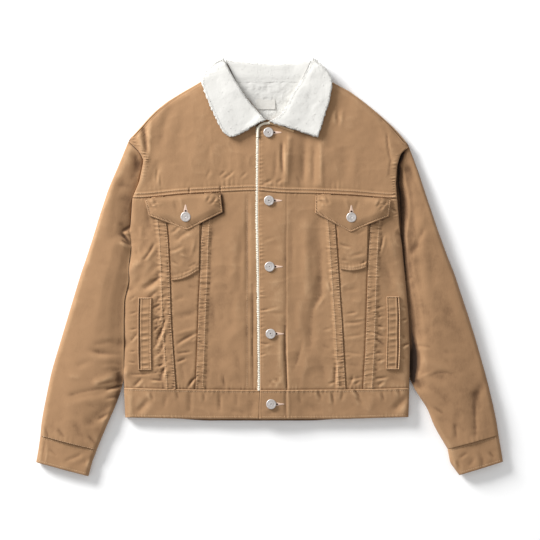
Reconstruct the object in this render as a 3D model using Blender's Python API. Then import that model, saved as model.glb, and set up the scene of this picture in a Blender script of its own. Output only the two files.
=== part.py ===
"""Sherpa lined jacket, buttoned up and laid flat on its back.

The jacket lies on the XY plane with Z up from the surface. +Y runs from the hem to the collar.
"left" is the -X side and "right" the +X side, whose front laps over the other one.
All tables and driving dimensions are in millimetres. The meshes are written in metres.
"""
import bmesh
import bpy
import numpy as np

MILLIMETRE = 0.001

# Cloth, from the surface upwards
SEAM_GAP = 0.3            # between two pieces that are sewn together
HALF_SEAM = SEAM_GAP / 2
LAYER_GAP = 0.3           # between a piece and what it lies on
BACK_WALL = 7.0           # shell with its pile lining
FRONT_WALL = 6.5
LEAST_WALL = 1.6          # where a piece is pressed thin, at a rolled edge
TONGUE_WALL = 3.2         # under front, pressed flat below the top front
CROWN = 3.0               # how far the padded middle of the body stands proud
CROWN_REACH = 70.0        # distance from the edge where the crown is full
FRONT_BOTTOM = BACK_WALL + LAYER_GAP
TONGUE_TOP = FRONT_BOTTOM + TONGUE_WALL
NECK_LEDGE = FRONT_BOTTOM + 2.5
BACK_EDGE_ROLL = 8.0      # the back curves up a little below its free edges
BACK_EDGE_LIFT = 2.6
# How far the front layer drops at each kind of edge, and how wide the roll is
EDGE_ROLLS = {
    "side": (5.0, 15.0), "armhole": (3.2, 9.0), "shoulder": (4.5, 13.0), "yoke_armhole": (1.6, 6.0),
    "neck": (4.0, 10.0), "hem": (3.5, 6.0),
}
CROWN_EDGES = ("side", "shoulder", "neck", "hem")
BACK_EDGES = ("side", "shoulder")

# Lapped, double-stitched seams: how high they stand and how wide they are
SEAM_RISE = 1.1
SEAM_RAMP = 1.5
OUTER_BAND = 18.0
INNER_BAND = 15.0
YOKE_BAND = 10.0
WAISTBAND_EXTRA = 0.8

# Button stand of the top front, on the tongue of the under front
LAP_RISE = 3.3
LAP_WIDTH = 50.0
LAP_FADE = 12.0
TONGUE_END = 20.0         # x where the under front ends
TONGUE_CLEAR = 5.0
TONGUE_HEAD = 260.0       # y where the tongue ends, below the neck seam
STEP_GAP = 0.6
STEP_RUN = 0.2
PILE_WIDTH = 4.3          # pile that shows along the front edge, down to the waist seam
PILE_END = -226.6
BAND_OPENING = 0.4        # beside the front edge at the waistband, which has no pile
PILE_TOP = 17.6
PILE_BULGE = 1.2

# Overlays
POCKET_WALL = 1.5
FLAP_WALL = 2.0
FLAP_LIFT = 1.29          # onto the pocket below it
FLAP_SETTLE = 0.8         # a flap bridges the seams below it by this much
WELT_WALL = 2.0
WELT_REACH = 6.0          # how far round a point a welt clears the seams
OVERLAY_REACH = 4.0
REACH_TURNS = 8
LABEL_WALL = 0.5
LINING_WALL = 2.2
LINING_GAP = 0.6

# Collar
COLLAR_WALL = 7.0
COLLAR_REACH = 11.0       # how far round a point the collar clears the yokes
COLLAR_ROLL = 6.0         # extra height at the roll line, where the stand folds under
COLLAR_ROLL_WIDTH = 34.0
COLLAR_INNER_DROP = 9.0
COLLAR_INNER_ROLL = 9.0
COLLAR_EDGE_DROP = 4.5
COLLAR_EDGE_ROLL = 8.0
FALL_BACK_WALL = 8.6      # fall that folds under behind the neck
FALL_BACK_DROP = 3.0
FALL_BACK_ROLL = 6.0
FALL_GAP = 3.0
STAND_TOP = 15.5
STAND_DROP = 4.6
# Places across the collar pieces, from their first edge and from their last one
FALL_FIRST = (0, 1.5, 4, 9, 17)
FALL_LAST = (9, 4, 1.2, 0)
STAND_FIRST = (0, 3)
FALL_BACK_LAST = (6, 2, 0)

# Sleeves and cuffs, pressed flat
SLEEVE_THICK = 15.5
SLEEVE_CROWN = 3.5
SLEEVE_CROWN_REACH = 60.0
SLEEVE_ROLL = 17.0
SLEEVE_UNDER_ROLL = 11.0
SLEEVE_MIDDLE = 7.6
SLEEVE_EDGE_WALL = 9.0
SLIT_HALF = 0.9           # half of the flat slit left inside
SLIT_TAPER = 8.0
ARMHOLE_GAP = 0.8
ARMHOLE_THINNER = 3.5     # the sleeve is pressed thinner where it meets the body
CUFF_THICK = 14.0
CUFF_CROWN = 1.0
CUFF_GAP = 0.4

# Metal tack button: radius and height down its outer side
BUTTON_STEPS = 14
BUTTON_PROFILE = (
    (6.6, 0.0), (8.9, 0.7), (9.2, 1.7), (8.4, 2.8), (7.2, 3.0), (2.0, 2.5), (1.0, 2.1),
)

CAMEL = (0.462, 0.275, 0.141, 1.0)
PILE = (0.86, 0.84, 0.79, 1.0)
LABEL_WHITE = (0.80, 0.78, 0.74, 1.0)
METAL = (0.62, 0.62, 0.61, 1.0)


def table(names, rows):
    """Named columns of a short table, one row for each section or fold."""
    return {name: np.array(column, float) for name, column in zip(names.split(), zip(*rows))}


# Plan of the body from the waist seam to the yoke seam: where each long seam runs at height y
BODY = table("y side_left outer_left inner_left inner_right outer_right side_right", [
    (-283, -267, -172, -138, 142, 172, 257),
    (-223, -270, -173, -137, 141, 173, 259),
    (-155, -270, -178, -134, 137, 177, 260),
    (-98, -270, -182, -132, 134, 179, 258),
    (-61, -269, -183, -131, 131, 180, 255),
    (-27, -261, -184, -129, 129, 181, 252),
    (2, -261, -185, -128, 127, 182, 249),
    (43, -256, -187, -127, 124, 184, 245),
    (61, -262, -188, -126, 123, 185, 242),
    (73, -258, -190, -125, 122, 186, 241),
    (97, -256, -192, -124, 119, 188, 239),
    (128, -254, -196, -121, 114, 191, 236),
])
# Armhole and shoulder, from the yoke seam up to the neck
SHOULDER_LEFT = table("y x", [
    (128, -254), (158, -241), (198, -233), (215, -242), (234, -263), (260, -239), (275, -226),
    (290, -211), (307, -190), (326, -159), (343, -129), (354, -112), (362, -100),
])
SHOULDER_RIGHT = table("y x", [
    (128, 236), (155, 234), (188, 236), (211, 243), (224, 260), (246, 242), (260, 229), (281, 206),
    (305, 177), (326, 149), (340, 121), (354, 103), (362, 95),
])
ARMHOLE_TOP_LEFT = 234.0
ARMHOLE_TOP_RIGHT = 224.0
ARMPIT = 61.0
YOKE_LEVEL = 128.0
YOKE_BEND = 80.0
YOKE_SEAM = table("x y", [
    (-254, 128), (-231, 128), (-165, 135), (-91, 139), (-30, 142), (-19, 141), (20, 137), (83, 136),
    (155, 133), (225, 127), (236, 128),
])
WAIST_SEAM = table("x y", [(-272, -223), (-140, -226), (-17, -227), (140, -226), (262, -223)])
FRONT_HEM = table("x y", [(-272, -278), (-140, -281), (-17, -281), (140, -281), (262, -277)])
BACK_HEM = table("x y", [(-272, -277), (-190, -280), (-120, -283), (90, -283), (150, -280), (262, -276)])
FRONT_EDGE = table("y x", [
    (-282, -19), (-246, -19), (-225, -17), (-116, -18), (-24, -19), (89, -21), (258, -20),
])

# Neck: seam of the fronts, back neckline and lining
NECK_LEFT = table("y x", [(263, -22), (271, -27), (288, -44), (309, -60), (334, -75), (352, -85), (362, -91)])
NECK_RIGHT = table("y x", [(262, -17), (266, -15), (275, 36), (299, 50), (319, 60), (335, 73), (362, 86)])
NECK_START = 268.0
SHOULDER_TOP = 362.0
SHOULDER_CLEAR = 235.0
BACK_NECK = 341.0
BACK_NECK_HALF = 58.0
BACK_NECK_RISE = 34.0
LINING_LEVELS = (273, 280, 292, 309, 325, 340)
LABEL_X = (-24, -7, 10)
LABEL_Y = (293, 312)

# Levels of the sections up the body, read at the side seam and the armhole
LOWER_LEVELS = (-223, -190, -155, -125, -98, -61, -27, 2, 26, 43, 61, 73, 97, 128)
BACK_LEVELS = (-223, -155, -98, -61, -27, 2, 43, 61, 73, 97, 128)
YOKE_LEVELS_LEFT = (128, 138, 140, 158, 178, 198, 215, 234, 247, 258, 263, 275, 290, 307, 326, 343, 354, 362)
YOKE_LEVELS_RIGHT = (
    128, 137, 139, 155, 172, 188, 211, 224, 235, 246, 260, 266, 275, 290, 305, 326, 340, 354, 362,
)
BACK_YOKE_LEVELS = (128, 156.5, 188, 198, 211, 215, 224, 234, 247, 260, 281, 307, 326, 343, 362)
WAIST_LEVELS = (0.0, 0.04, 0.12, 0.5, 1.0)
YOKE_PILE_LEVELS = (160, 190, 220, 245, 259)
EDGE_PLACES = (0, 3, 9)
LAP_PLACES = (0, 2, 20, 41, 46, LAP_WIDTH, LAP_WIDTH + LAP_FADE)

# Pockets: sections from their upper to their lower edge
POCKET_LEFT = [
    (-186, 106, -181, -25), (-172, 107, -163, -23), (-152, 108, -145, -15), (-129, 109, -131, -6),
]
POCKET_RIGHT = [
    (125, 108, 131, -4), (146, 107, 149, -7), (166, 106, 168, -5), (182, 105, 179, 0),
]
FLAP_LEFT = [
    (-231, 126, -223, 95), (-192, 130, -188, 82), (-154, 134, -153, 68), (-122, 135.5, -120, 85),
    (-90, 136.5, -86, 102),
]
FLAP_RIGHT = [
    (85, 134, 84, 100), (117, 133, 116, 83), (151, 131, 149, 64), (188, 128.5, 185, 80),
    (225, 125.5, 221, 94),
]
WELT_LEFT = [
    (-243, -56, -218, -56), (-244, -90, -219, -90), (-244, -124, -219, -124), (-244, -158, -219, -158),
    (-243, -191, -218, -191),
]
WELT_RIGHT = [
    (216, -54, 240, -54), (217, -88, 242, -88), (217, -122, 242, -122), (216, -156, 242, -156),
    (215, -190, 240, -190),
]

# Collar falls: sections from the roll line to the outer edge, from the front to the shoulder
COLLAR_LEFT = [
    (-8, 272, -68, 239.5), (-14, 280, -77, 241), (-22, 289, -84, 247), (-31, 298, -91, 258),
    (-39, 309, -98, 271), (-47, 319, -105, 286), (-54, 331, -112, 303), (-61, 342, -120, 323),
    (-70, 357, -127, 342), (-76, 368, -124, 357), (-81, 378, -112, 371), (-85, 387, -97, 383),
]
COLLAR_RIGHT = [
    (-2, 269, 88, 240.5), (10, 274, 92, 246), (20, 280, 95, 257), (27, 290, 99, 270),
    (33, 301, 103, 284), (39, 313, 108, 298), (46, 326, 112, 314), (53, 335, 115, 328),
    (59, 343, 117, 342), (65, 355, 113, 356), (71, 368, 105, 367), (76, 378, 95, 377),
    (80.5, 387, 87, 383.5),
]
# Stand: sections from the neck seam to the crest behind the neck
STAND = [
    (-58, 342.8, -80, 384), (-36, 342.8, -52, 381), (-6, 342.8, -5, 376.5), (32, 342.8, 36, 377.5),
    (56, 342.8, 77, 384),
]
# Fall under the back: x at the yoke, then the point at the crest
FALL_BACK = [
    (-124, -126, 351), (-113, -119, 364), (-101, -107, 375), (-90, -97, 382.5), (-80, -86, 388),
    (-64, -70, 385), (-38, -42, 381.5), (-4, -5, 378), (34, 36, 379), (62, 71, 384.5), (76, 81, 388),
    (85, 93, 379), (94, 102, 370), (103, 111, 359), (112, 115, 350),
]

# Sleeves: sections from the outer edge to the underarm edge, and how far each follows the armhole
SLEEVE_LEFT = table("outer_x outer_y inner_x inner_y follow", [
    (-264, 234, -263.5, 62, 1.0), (-274, 208, -264, 51, 0.72), (-284, 182, -260, 40, 0.46),
    (-298, 149, -260.5, 20, 0.22), (-309, 115, -263, 2, 0.08), (-319, 83, -263, -14, 0),
    (-329, 50, -265.5, -34, 0), (-340, 16, -270.8, -58, 0), (-350, -12, -272, -78, 0),
    (-359, -42, -272, -98, 0), (-368, -72, -272, -118, 0), (-377, -102, -272, -138, 0),
    (-386, -132, -272, -158, 0), (-396, -165, -272, -178, 0), (-404, -192, -272, -197, 0),
    (-410, -220, -272.5, -218, 0), (-415, -245, -281, -246, 0), (-420, -270, -294, -276, 0),
    (-423.5, -292, -308, -308, 0), (-425, -312, -320.5, -339, 0),
])
SLEEVE_RIGHT = table("outer_x outer_y inner_x inner_y follow", [
    (260.8, 224, 243, 62, 1.0), (268, 203, 244.8, 50, 0.72), (276, 180, 246.8, 36, 0.46),
    (285, 151, 249.5, 18, 0.22), (293, 125, 251.5, 0, 0.08), (301, 102, 254, -18, 0),
    (311, 71, 256.5, -38, 0), (321, 44, 258.5, -58, 0), (332, 14, 260.5, -78, 0),
    (343, -12, 262.5, -98, 0), (352, -41, 264, -118, 0), (362, -70, 265, -138, 0),
    (371, -98, 265.5, -158, 0), (381, -130, 265.5, -178, 0), (391, -165, 264.5, -198, 0),
    (401, -200, 265, -220, 0), (409, -232, 279, -242, 0), (415, -258, 293, -262, 0),
    (420.5, -284, 305, -295, 0), (424.5, -311, 330, -337, 0),
])
CUFF_LEFT = [(-428.5, -337, -328.5, -360), (-433, -362, -336, -388)]
CUFF_RIGHT = [(429, -337, 335, -363), (433, -361, 352, -386)]
# Places round a sleeve: its top across from the outer edge, and its underside back again
SHARES_LEFT = (0, 0.007, 0.025, 0.06, 0.11, 0.209, 0.324, 0.442, 0.53, 0.616, 0.705, 0.797, 0.866, 0.936,
               0.975, 0.993, 1)
SHARES_RIGHT = (0, 0.007, 0.025, 0.08, 0.15, 0.222, 0.324, 0.426, 0.51, 0.593, 0.69, 0.784, 0.86, 0.932,
                0.975, 0.993, 1)
UNDER_LEFT = (0.97, 0.936, 0.797, 0.616, 0.442, 0.209, 0.11, 0.03)
UNDER_RIGHT = (0.97, 0.932, 0.784, 0.593, 0.426, 0.222, 0.08, 0.03)

FRONT_BUTTONS = ((-2, 249), (-1, 123), (0, 1), (2, -123), (3, -253))
FLAP_BUTTONS = ((-155, 93), (151, 92))

# Largest folds: a soft ridge (height above 0) or trough (below 0) from one point to another
FOLDS = table("x1 y1 x2 y2 width height", [
    (-268, -222, -362, -238, 9, -2.6), (-282, -236, -372, -252, 11, 2.0),
    (-270, -196, -318, -214, 8, 2.2), (-290, -252, -330, -284, 9, -2.2),
    (-268, -140, -316, -156, 10, -1.6), (-300, 120, -352, -60, 24, 1.4),
    (-274, 150, -286, 60, 13, -2.0), (266, -188, 316, -203, 9, -2.4), (268, -172, 330, -186, 9, 1.8),
    (270, -222, 300, -268, 9, -2.2), (404, -206, 382, -236, 9, -1.8), (382, -236, 379, -306, 9, -2.6),
    (392, -240, 396, -300, 10, 1.8), (258, 180, 268, 40, 13, -2.2), (300, 90, 350, -90, 26, 1.4),
    (-226, 26, -262, -8, 9, 1.8), (-214, 2, -256, -40, 8, -1.6), (36, 236, 30, 160, 7, 1.6),
    (64, 250, 60, 150, 9, -1.4), (98, 236, 92, 156, 10, 1.3), (-66, 60, -58, -190, 16, 1.2),
    (62, 70, 74, -180, 16, 1.2), (-236, 204, -200, 300, 12, 1.5), (232, 196, 214, 262, 12, 1.5),
])


# ---------------------------------------------------------------- reading the tables

def read_x(curve, y):
    """x of a curve that is given by height."""
    return float(np.interp(y, curve["y"], curve["x"]))


def read_y(curve, x):
    """y of a curve that is given by its place across."""
    return float(np.interp(x, curve["x"], curve["y"]))


def seam_x(name, y):
    """x of one of the long seams of the body."""
    return float(np.interp(y, BODY["y"], BODY[name]))


def front_edge(y):
    """x of the edge of the top front."""
    return read_x(FRONT_EDGE, y)


def curve_of(curve):
    """A table's curve as a function of height."""
    return lambda y: read_x(curve, y)


def armhole_of(side, shoulder):
    """The whole armhole as a function of height: body side below the yoke seam, yoke above it."""
    return lambda y: seam_x(side, y) if y < YOKE_LEVEL else read_x(shoulder, y)


def distance_to(polyline, x, y):
    """Shortest distance from a point to a chain of segments."""
    start = polyline[:-1]
    run = polyline[1:] - start
    place = np.array((x, y)) - start
    part = np.clip((place * run).sum(axis=1) / (run * run).sum(axis=1), 0.0, 1.0)
    return float(np.hypot(*(place - run * part[:, None]).T).min())


def quarter_round(part):
    """0 at an edge and 1 where the roll is over, along a quarter of an ellipse."""
    part = min(max(part, 0.0), 1.0)
    return (1.0 - (1.0 - part) ** 2) ** 0.5


def ease(part):
    """Smooth step from 0 to 1."""
    part = min(max(part, 0.0), 1.0)
    return part * part * (3.0 - 2.0 * part)


def points_of(ys, xs, low=-np.inf, high=np.inf):
    """The part of a curve between two heights, as points."""
    keep = (ys >= low) & (ys <= high)
    return np.column_stack((xs[keep], ys[keep]))


# ---------------------------------------------------------------- surfaces of the front and back layers

def edge_lines():
    """Edges of the front layer by kind, as chains of points."""
    sides = [(BODY["y"], BODY["side_left"]), (BODY["y"], BODY["side_right"])]
    shoulders = [(SHOULDER_LEFT, ARMHOLE_TOP_LEFT), (SHOULDER_RIGHT, ARMHOLE_TOP_RIGHT)]
    return {
        "side": [points_of(y, x, high=ARMPIT) for y, x in sides],
        "armhole": [points_of(y, x, low=ARMPIT) for y, x in sides],
        "shoulder": [points_of(curve["y"], curve["x"], low=top) for curve, top in shoulders],
        "yoke_armhole": [points_of(curve["y"], curve["x"], high=top) for curve, top in shoulders],
        "neck": [points_of(curve["y"], curve["x"], low=NECK_START) for curve in (NECK_LEFT, NECK_RIGHT)],
        "hem": [np.column_stack((FRONT_HEM["x"], FRONT_HEM["y"]))],
    }


EDGES = edge_lines()
ROLLS = [(line, *EDGE_ROLLS[kind]) for kind, lines in EDGES.items() for line in lines]
CROWN_LINES = [line for kind in CROWN_EDGES for line in EDGES[kind]]
BACK_LINES = [line for kind in BACK_EDGES for line in EDGES[kind]]
BACK_LINES.append(np.column_stack((BACK_HEM["x"], BACK_HEM["y"])))


def folds(x, y):
    """Sum of the large folds at a point."""
    start = np.column_stack((FOLDS["x1"], FOLDS["y1"]))
    run = np.column_stack((FOLDS["x2"], FOLDS["y2"])) - start
    place = np.array((x, y)) - start
    part = np.clip((place * run).sum(axis=1) / (run * run).sum(axis=1), 0.0, 1.0)
    away = np.hypot(*(place - run * part[:, None]).T)
    return float((FOLDS["height"] * np.exp(-(away / FOLDS["width"]) ** 2)).sum())


def front_plain(x, y):
    """Top of the front layer before its seams and lap."""
    drop = max(fall * (1.0 - quarter_round(distance_to(line, x, y) / width)) for line, fall, width in ROLLS)
    nearest = min(distance_to(line, x, y) for line in CROWN_LINES)
    rest = FRONT_BOTTOM + FRONT_WALL + CROWN * ease(nearest / CROWN_REACH) + folds(x, y) - drop
    return max(rest, FRONT_BOTTOM + LEAST_WALL)


def lap(x, y):
    """The top front stands on the under front along the button stand."""
    away = x - front_edge(y)
    return LAP_RISE * (1.0 - ease((away - LAP_WIDTH) / LAP_FADE)) if away > -1.0 else 0.0


def band(away, width):
    """Rise of a lapped seam, from its line over its width."""
    return SEAM_RISE * (1.0 - ease((away - width) / SEAM_RAMP)) if away > 0.0 else 0.0


def lower_top(x, y):
    """Top of the fronts between the waist seam and the yoke seam."""
    if x < 0:
        outer = band(seam_x("outer_left", y) - x, OUTER_BAND)
        inner = band(x - seam_x("inner_left", y), INNER_BAND)
    else:
        outer = band(x - seam_x("outer_right", y), OUTER_BAND)
        inner = band(seam_x("inner_right", y) - x, INNER_BAND)
    return front_plain(x, y) + max(outer, inner) + lap(x, y)


def yoke_top(x, y):
    """Top of the front yokes, with the lapped yoke seam at their lower edge."""
    return front_plain(x, y) + band(y - read_y(YOKE_SEAM, x) + HALF_SEAM, YOKE_BAND) + lap(x, y)


def waist_top(x, y):
    """Top of the front waistband, a little thicker than the panels."""
    return front_plain(x, y) + WAISTBAND_EXTRA + lap(x, y)


def front_under(x, y):
    """Underside of the front layer: it rests on the back and lifts with the folds."""
    return max(FRONT_BOTTOM, front_plain(x, y) - FRONT_WALL)


def top_front_under(x, y):
    """Underside of the front that laps over: clear of the tongue below it."""
    return TONGUE_TOP + LAYER_GAP if x < TONGUE_END + TONGUE_CLEAR else front_under(x, y)


def pressed_past_edge(top, beside=PILE_WIDTH):
    """The under front is pressed flat past the edge of the top front and what shows beside that edge."""
    return lambda x, y: TONGUE_TOP if x > front_edge(y) - beside - STEP_GAP + STEP_RUN / 2 else top(x, y)


def back_top(x, y):
    """Top of the back layer."""
    return BACK_WALL


def back_under(x, y):
    """Underside of the back: flat on the surface, and lifted a little at its free edges."""
    nearest = min(distance_to(line, x, y) for line in BACK_LINES)
    return BACK_EDGE_LIFT * (1.0 - quarter_round(nearest / BACK_EDGE_ROLL))


def refined(sections, steps):
    """More sections, evenly between the given ones."""
    rows = np.array(sections, float)
    places = np.linspace(0, len(rows) - 1, (len(rows) - 1) * steps + 1)
    return np.column_stack([np.interp(places, range(len(rows)), column) for column in rows.T])


# ---------------------------------------------------------------- making meshes

def finish_object(name, mesh, colour, metallic=0.0, roughness=0.9):
    """Make the object of a mesh, with its own material."""
    built = bmesh.new()
    built.from_mesh(mesh)
    bmesh.ops.recalc_face_normals(built, faces=built.faces)
    built.to_mesh(mesh)
    built.free()
    material = bpy.data.materials.new(name)
    material.use_nodes = True
    shader = material.node_tree.nodes["Principled BSDF"]
    shader.inputs["Base Color"].default_value = colour
    shader.inputs["Roughness"].default_value = roughness
    shader.inputs["Metallic"].default_value = metallic
    mesh.materials.append(material)
    mesh.shade_smooth()
    mesh.set_sharp_from_angle(angle=0.8)
    piece = bpy.data.objects.new(name, mesh)
    bpy.context.collection.objects.link(piece)


def mesh_of(name, points, faces):
    """Mesh of points in millimetres."""
    mesh = bpy.data.meshes.new(name)
    mesh.from_pydata((np.array(points) * MILLIMETRE).tolist(), [], faces)
    return mesh


def closed_sheet(name, plan, top, under, colour):
    """A wall of cloth over a plan grid: heights of its top and underside, joined round the edge."""
    rows, columns = plan.shape[:2]
    count = rows * columns
    points = [*np.dstack((plan, top)).reshape(-1, 3), *np.dstack((plan, under)).reshape(-1, 3)]
    faces = []
    for row in range(rows - 1):
        for column in range(columns - 1):
            corner = row * columns + column
            loop = (corner, corner + 1, corner + columns + 1, corner + columns)
            faces.append(loop)
            faces.append(tuple(count + index for index in reversed(loop)))
    rim = list(range(columns))
    rim += [row * columns + columns - 1 for row in range(1, rows)]
    rim += [count - 1 - step for step in range(1, columns)]
    rim += [row * columns for row in range(rows - 2, 0, -1)]
    for here, there in zip(rim, rim[1:] + rim[:1]):
        faces.append((there, here, count + here, count + there))
    finish_object(name, mesh_of(name, points, faces), colour)


def heights(plan, surface):
    """Height of a surface at each point of a plan grid."""
    return np.array([[surface(x, y) for x, y in row] for row in plan])


def panel(name, plan, top, under, colour=CAMEL):
    """A panel whose top follows one surface. The underside never comes closer than the least wall."""
    above = heights(plan, top)
    below = np.minimum(heights(plan, under), above - LEAST_WALL)
    closed_sheet(name, plan, above, below, colour)


# ---------------------------------------------------------------- plans of the body panels

def spread(near_first, near_second, between):
    """Places across a panel: some in millimetres from each edge, the rest evenly between them."""
    def places(first, second, y):
        width = second - first
        wanted = near_first[-1] + near_second[0]
        scale = min(1.0, 0.8 * width / wanted) if wanted else 1.0
        start = [first + away * scale for away in near_first]
        end = [second - away * scale for away in near_second]
        return start + list(np.linspace(start[-1], end[0], between + 2)[1:-1]) + end
    return places


def under_front_spread(near_first, between, beside=PILE_WIDTH):
    """Places across the under front: up to its edge that shows, down to the tongue, and its end."""
    def places(first, second, y):
        shown_edge = min(front_edge(y) - beside - STEP_GAP, second - STEP_GAP)
        shown = spread(near_first, (0.0,), between)(first, shown_edge, y)
        return shown + [shown_edge + STEP_RUN, second]
    return places


def plan_of(levels, place_y, first, second, places, first_gap=HALF_SEAM, second_gap=HALF_SEAM):
    """Plan grid of a panel between two curves, one row for each level."""
    plan = []
    for level in levels:
        left = on_curve(first, place_y, level) + first_gap
        right = on_curve(second, place_y, level) - second_gap
        lift = HALF_SEAM * ((level == levels[0]) - (level == levels[-1]))
        plan.append([(x, place_y(x, level) + lift) for x in places(left, right, place_y(right, level))])
    return np.array(plan)


def on_curve(curve, place_y, level):
    """x where a row of a panel meets a curve that is given by height."""
    x = curve(level)
    for _ in range(4):
        x = curve(place_y(x, level))
    return x


def lower_y(x, level):
    """A row of the lower body, bent to the waist seam below and the yoke seam above."""
    share = (level - LOWER_LEVELS[0]) / (LOWER_LEVELS[-1] - LOWER_LEVELS[0])
    low = read_y(WAIST_SEAM, x)
    return low + share * (read_y(YOKE_SEAM, x) - low)


def yoke_y(x, level):
    """A row of a front yoke, bent to the yoke seam and straight further up."""
    return level + (read_y(YOKE_SEAM, x) - YOKE_LEVEL) * (1.0 - ease((level - YOKE_LEVEL) / YOKE_BEND))


def neckline_y(x):
    """Back neckline, which climbs to the shoulders at both ends."""
    return BACK_NECK + (SHOULDER_TOP - BACK_NECK) * ease((abs(x) - BACK_NECK_HALF) / BACK_NECK_RISE)


def back_yoke_y(x, level):
    """A row of the back yoke, pressed down towards the neckline in the middle."""
    low = read_y(YOKE_SEAM, x)
    return low + (yoke_y(x, level) - low) * (neckline_y(x) - low) / (SHOULDER_TOP - low)


def waist_y(hem):
    """Rows of a waistband, from its hem at 0 to the waist seam at 1."""
    return lambda x, level: read_y(hem, x) + level * (read_y(WAIST_SEAM, x) - read_y(hem, x))


def seam(name):
    """One of the long seams as a function of height."""
    return lambda y: seam_x(name, y)


def tongue_end(y):
    """End of the under front, below the top front."""
    return TONGUE_END


def under_yoke_end(y):
    """Inner edge of the left yoke: the tongue's end, then the neck seam."""
    return TONGUE_END if y < TONGUE_HEAD else read_x(NECK_LEFT, y)


def top_yoke_edge(y):
    """Inner edge of the right yoke: the front edge, then the neck seam."""
    return front_edge(y) if y < NECK_RIGHT["y"][0] else read_x(NECK_RIGHT, y)


# ---------------------------------------------------------------- body

def build_lower_fronts():
    """Side, middle and centre panel of each front, from the waist seam to the yoke seam."""
    outer_ramp = (0, OUTER_BAND, OUTER_BAND + SEAM_RAMP)
    inner_ramp = (0, INNER_BAND, INNER_BAND + SEAM_RAMP)
    side = spread(EDGE_PLACES, outer_ramp[::-1], 3)
    plan = plan_of(LOWER_LEVELS, lower_y, seam("side_left"), seam("outer_left"), side, first_gap=0.0)
    panel("front_side_left", plan, lower_top, front_under)
    side = spread(outer_ramp, EDGE_PLACES[::-1], 3)
    plan = plan_of(LOWER_LEVELS, lower_y, seam("outer_right"), seam("side_right"), side, second_gap=0.0)
    panel("front_side_right", plan, lower_top, front_under)
    middle = spread((0,), (0,), 3)
    plan = plan_of(LOWER_LEVELS, lower_y, seam("outer_left"), seam("inner_left"), middle)
    panel("front_middle_left", plan, lower_top, front_under)
    plan = plan_of(LOWER_LEVELS, lower_y, seam("inner_right"), seam("outer_right"), middle)
    panel("front_middle_right", plan, lower_top, front_under)
    centre = under_front_spread(inner_ramp, 3)
    plan = plan_of(LOWER_LEVELS, lower_y, seam("inner_left"), tongue_end, centre, second_gap=0.0)
    panel("front_centre_left", plan, pressed_past_edge(lower_top), front_under)
    centre = spread(LAP_PLACES, inner_ramp[::-1], 2)
    plan = plan_of(LOWER_LEVELS, lower_y, front_edge, seam("inner_right"), centre, first_gap=0.0)
    panel("front_centre_right", plan, lower_top, top_front_under)


def build_yokes():
    """Front yokes, from the yoke seam over the shoulder to the neck seam."""
    plan = plan_of(YOKE_LEVELS_LEFT, yoke_y, curve_of(SHOULDER_LEFT), under_yoke_end,
                   under_front_spread(EDGE_PLACES, 6), first_gap=0.0, second_gap=0.0)
    panel("front_yoke_left", plan, pressed_past_edge(yoke_top), front_under)
    plan = plan_of(YOKE_LEVELS_RIGHT, yoke_y, top_yoke_edge, curve_of(SHOULDER_RIGHT),
                   spread(LAP_PLACES, EDGE_PLACES[::-1], 4), first_gap=0.0, second_gap=0.0)
    panel("front_yoke_right", plan, yoke_top, top_front_under)


def build_waistbands():
    """Front waistbands on the back one, which reaches a little lower."""
    front = waist_y(FRONT_HEM)
    plan = plan_of(WAIST_LEVELS, front, seam("side_left"), tongue_end,
                   under_front_spread(EDGE_PLACES, 6, BAND_OPENING), first_gap=0.0, second_gap=0.0)
    panel("waistband_left", plan, pressed_past_edge(waist_top, BAND_OPENING), front_under)
    plan = plan_of(WAIST_LEVELS, front, front_edge, seam("side_right"),
                   spread(LAP_PLACES, EDGE_PLACES[::-1], 5), first_gap=0.0, second_gap=0.0)
    panel("waistband_right", plan, waist_top, top_front_under)
    plan = plan_of(WAIST_LEVELS, waist_y(BACK_HEM), seam("side_left"), seam("side_right"),
                   spread(EDGE_PLACES, EDGE_PLACES[::-1], 8), first_gap=0.0, second_gap=0.0)
    panel("waistband_back", plan, back_top, back_under)


def build_back():
    """Back panel and back yoke, flat on the surface."""
    across = spread(EDGE_PLACES, EDGE_PLACES[::-1], 8)
    plan = plan_of(BACK_LEVELS, lower_y, seam("side_left"), seam("side_right"), across, 0.0, 0.0)
    panel("back_panel", plan, back_top, back_under)
    plan = plan_of(BACK_YOKE_LEVELS, back_yoke_y, curve_of(SHOULDER_LEFT), curve_of(SHOULDER_RIGHT),
                   across, 0.0, 0.0)
    panel("back_yoke", plan, back_top, back_under)


# ---------------------------------------------------------------- pieces laid on the panels

def rest_on(support, x, y, reach):
    """Highest point of what lies below, close round a place, so that facets stay clear."""
    turns = np.linspace(0, 2 * np.pi, REACH_TURNS + 1)[:-1]
    around = [(x + reach * np.cos(turn), y + reach * np.sin(turn)) for turn in turns]
    return max(support(px, py) for px, py in [(x, y), *around]) + LAYER_GAP


def ease_up(grid, rounds):
    """Smooth a grid of heights without lowering any of them."""
    for _ in range(rounds):
        padded = np.pad(grid, 1, mode="edge")
        mean = (padded[:-2, 1:-1] + padded[2:, 1:-1] + padded[1:-1, :-2] + padded[1:-1, 2:]) / 4
        grid = np.maximum(grid, mean)
    return grid


def overlay(name, plan, support, wall, colour, reach=OVERLAY_REACH, lift=0.0, swell=None, rounds=1):
    """A piece laid on others, made from their points moved out."""
    below = ease_up(heights(plan, lambda x, y: rest_on(support, x, y, reach) + lift), rounds)
    above = below + wall
    if swell:
        above = np.maximum(above + heights(plan, swell), below + LEAST_WALL)
    closed_sheet(name, plan, above, below, colour)


def sections_plan(sections, places):
    """Plan grid of a piece from sections that run from a first to a second point."""
    plan = []
    for x1, y1, x2, y2 in sections:
        width = np.hypot(x2 - x1, y2 - y1)
        shares = np.array(places(0.0, width, 0.0)) / width
        plan.append([(x1 + (x2 - x1) * share, y1 + (y2 - y1) * share) for share in shares])
    return np.array(plan)


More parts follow.
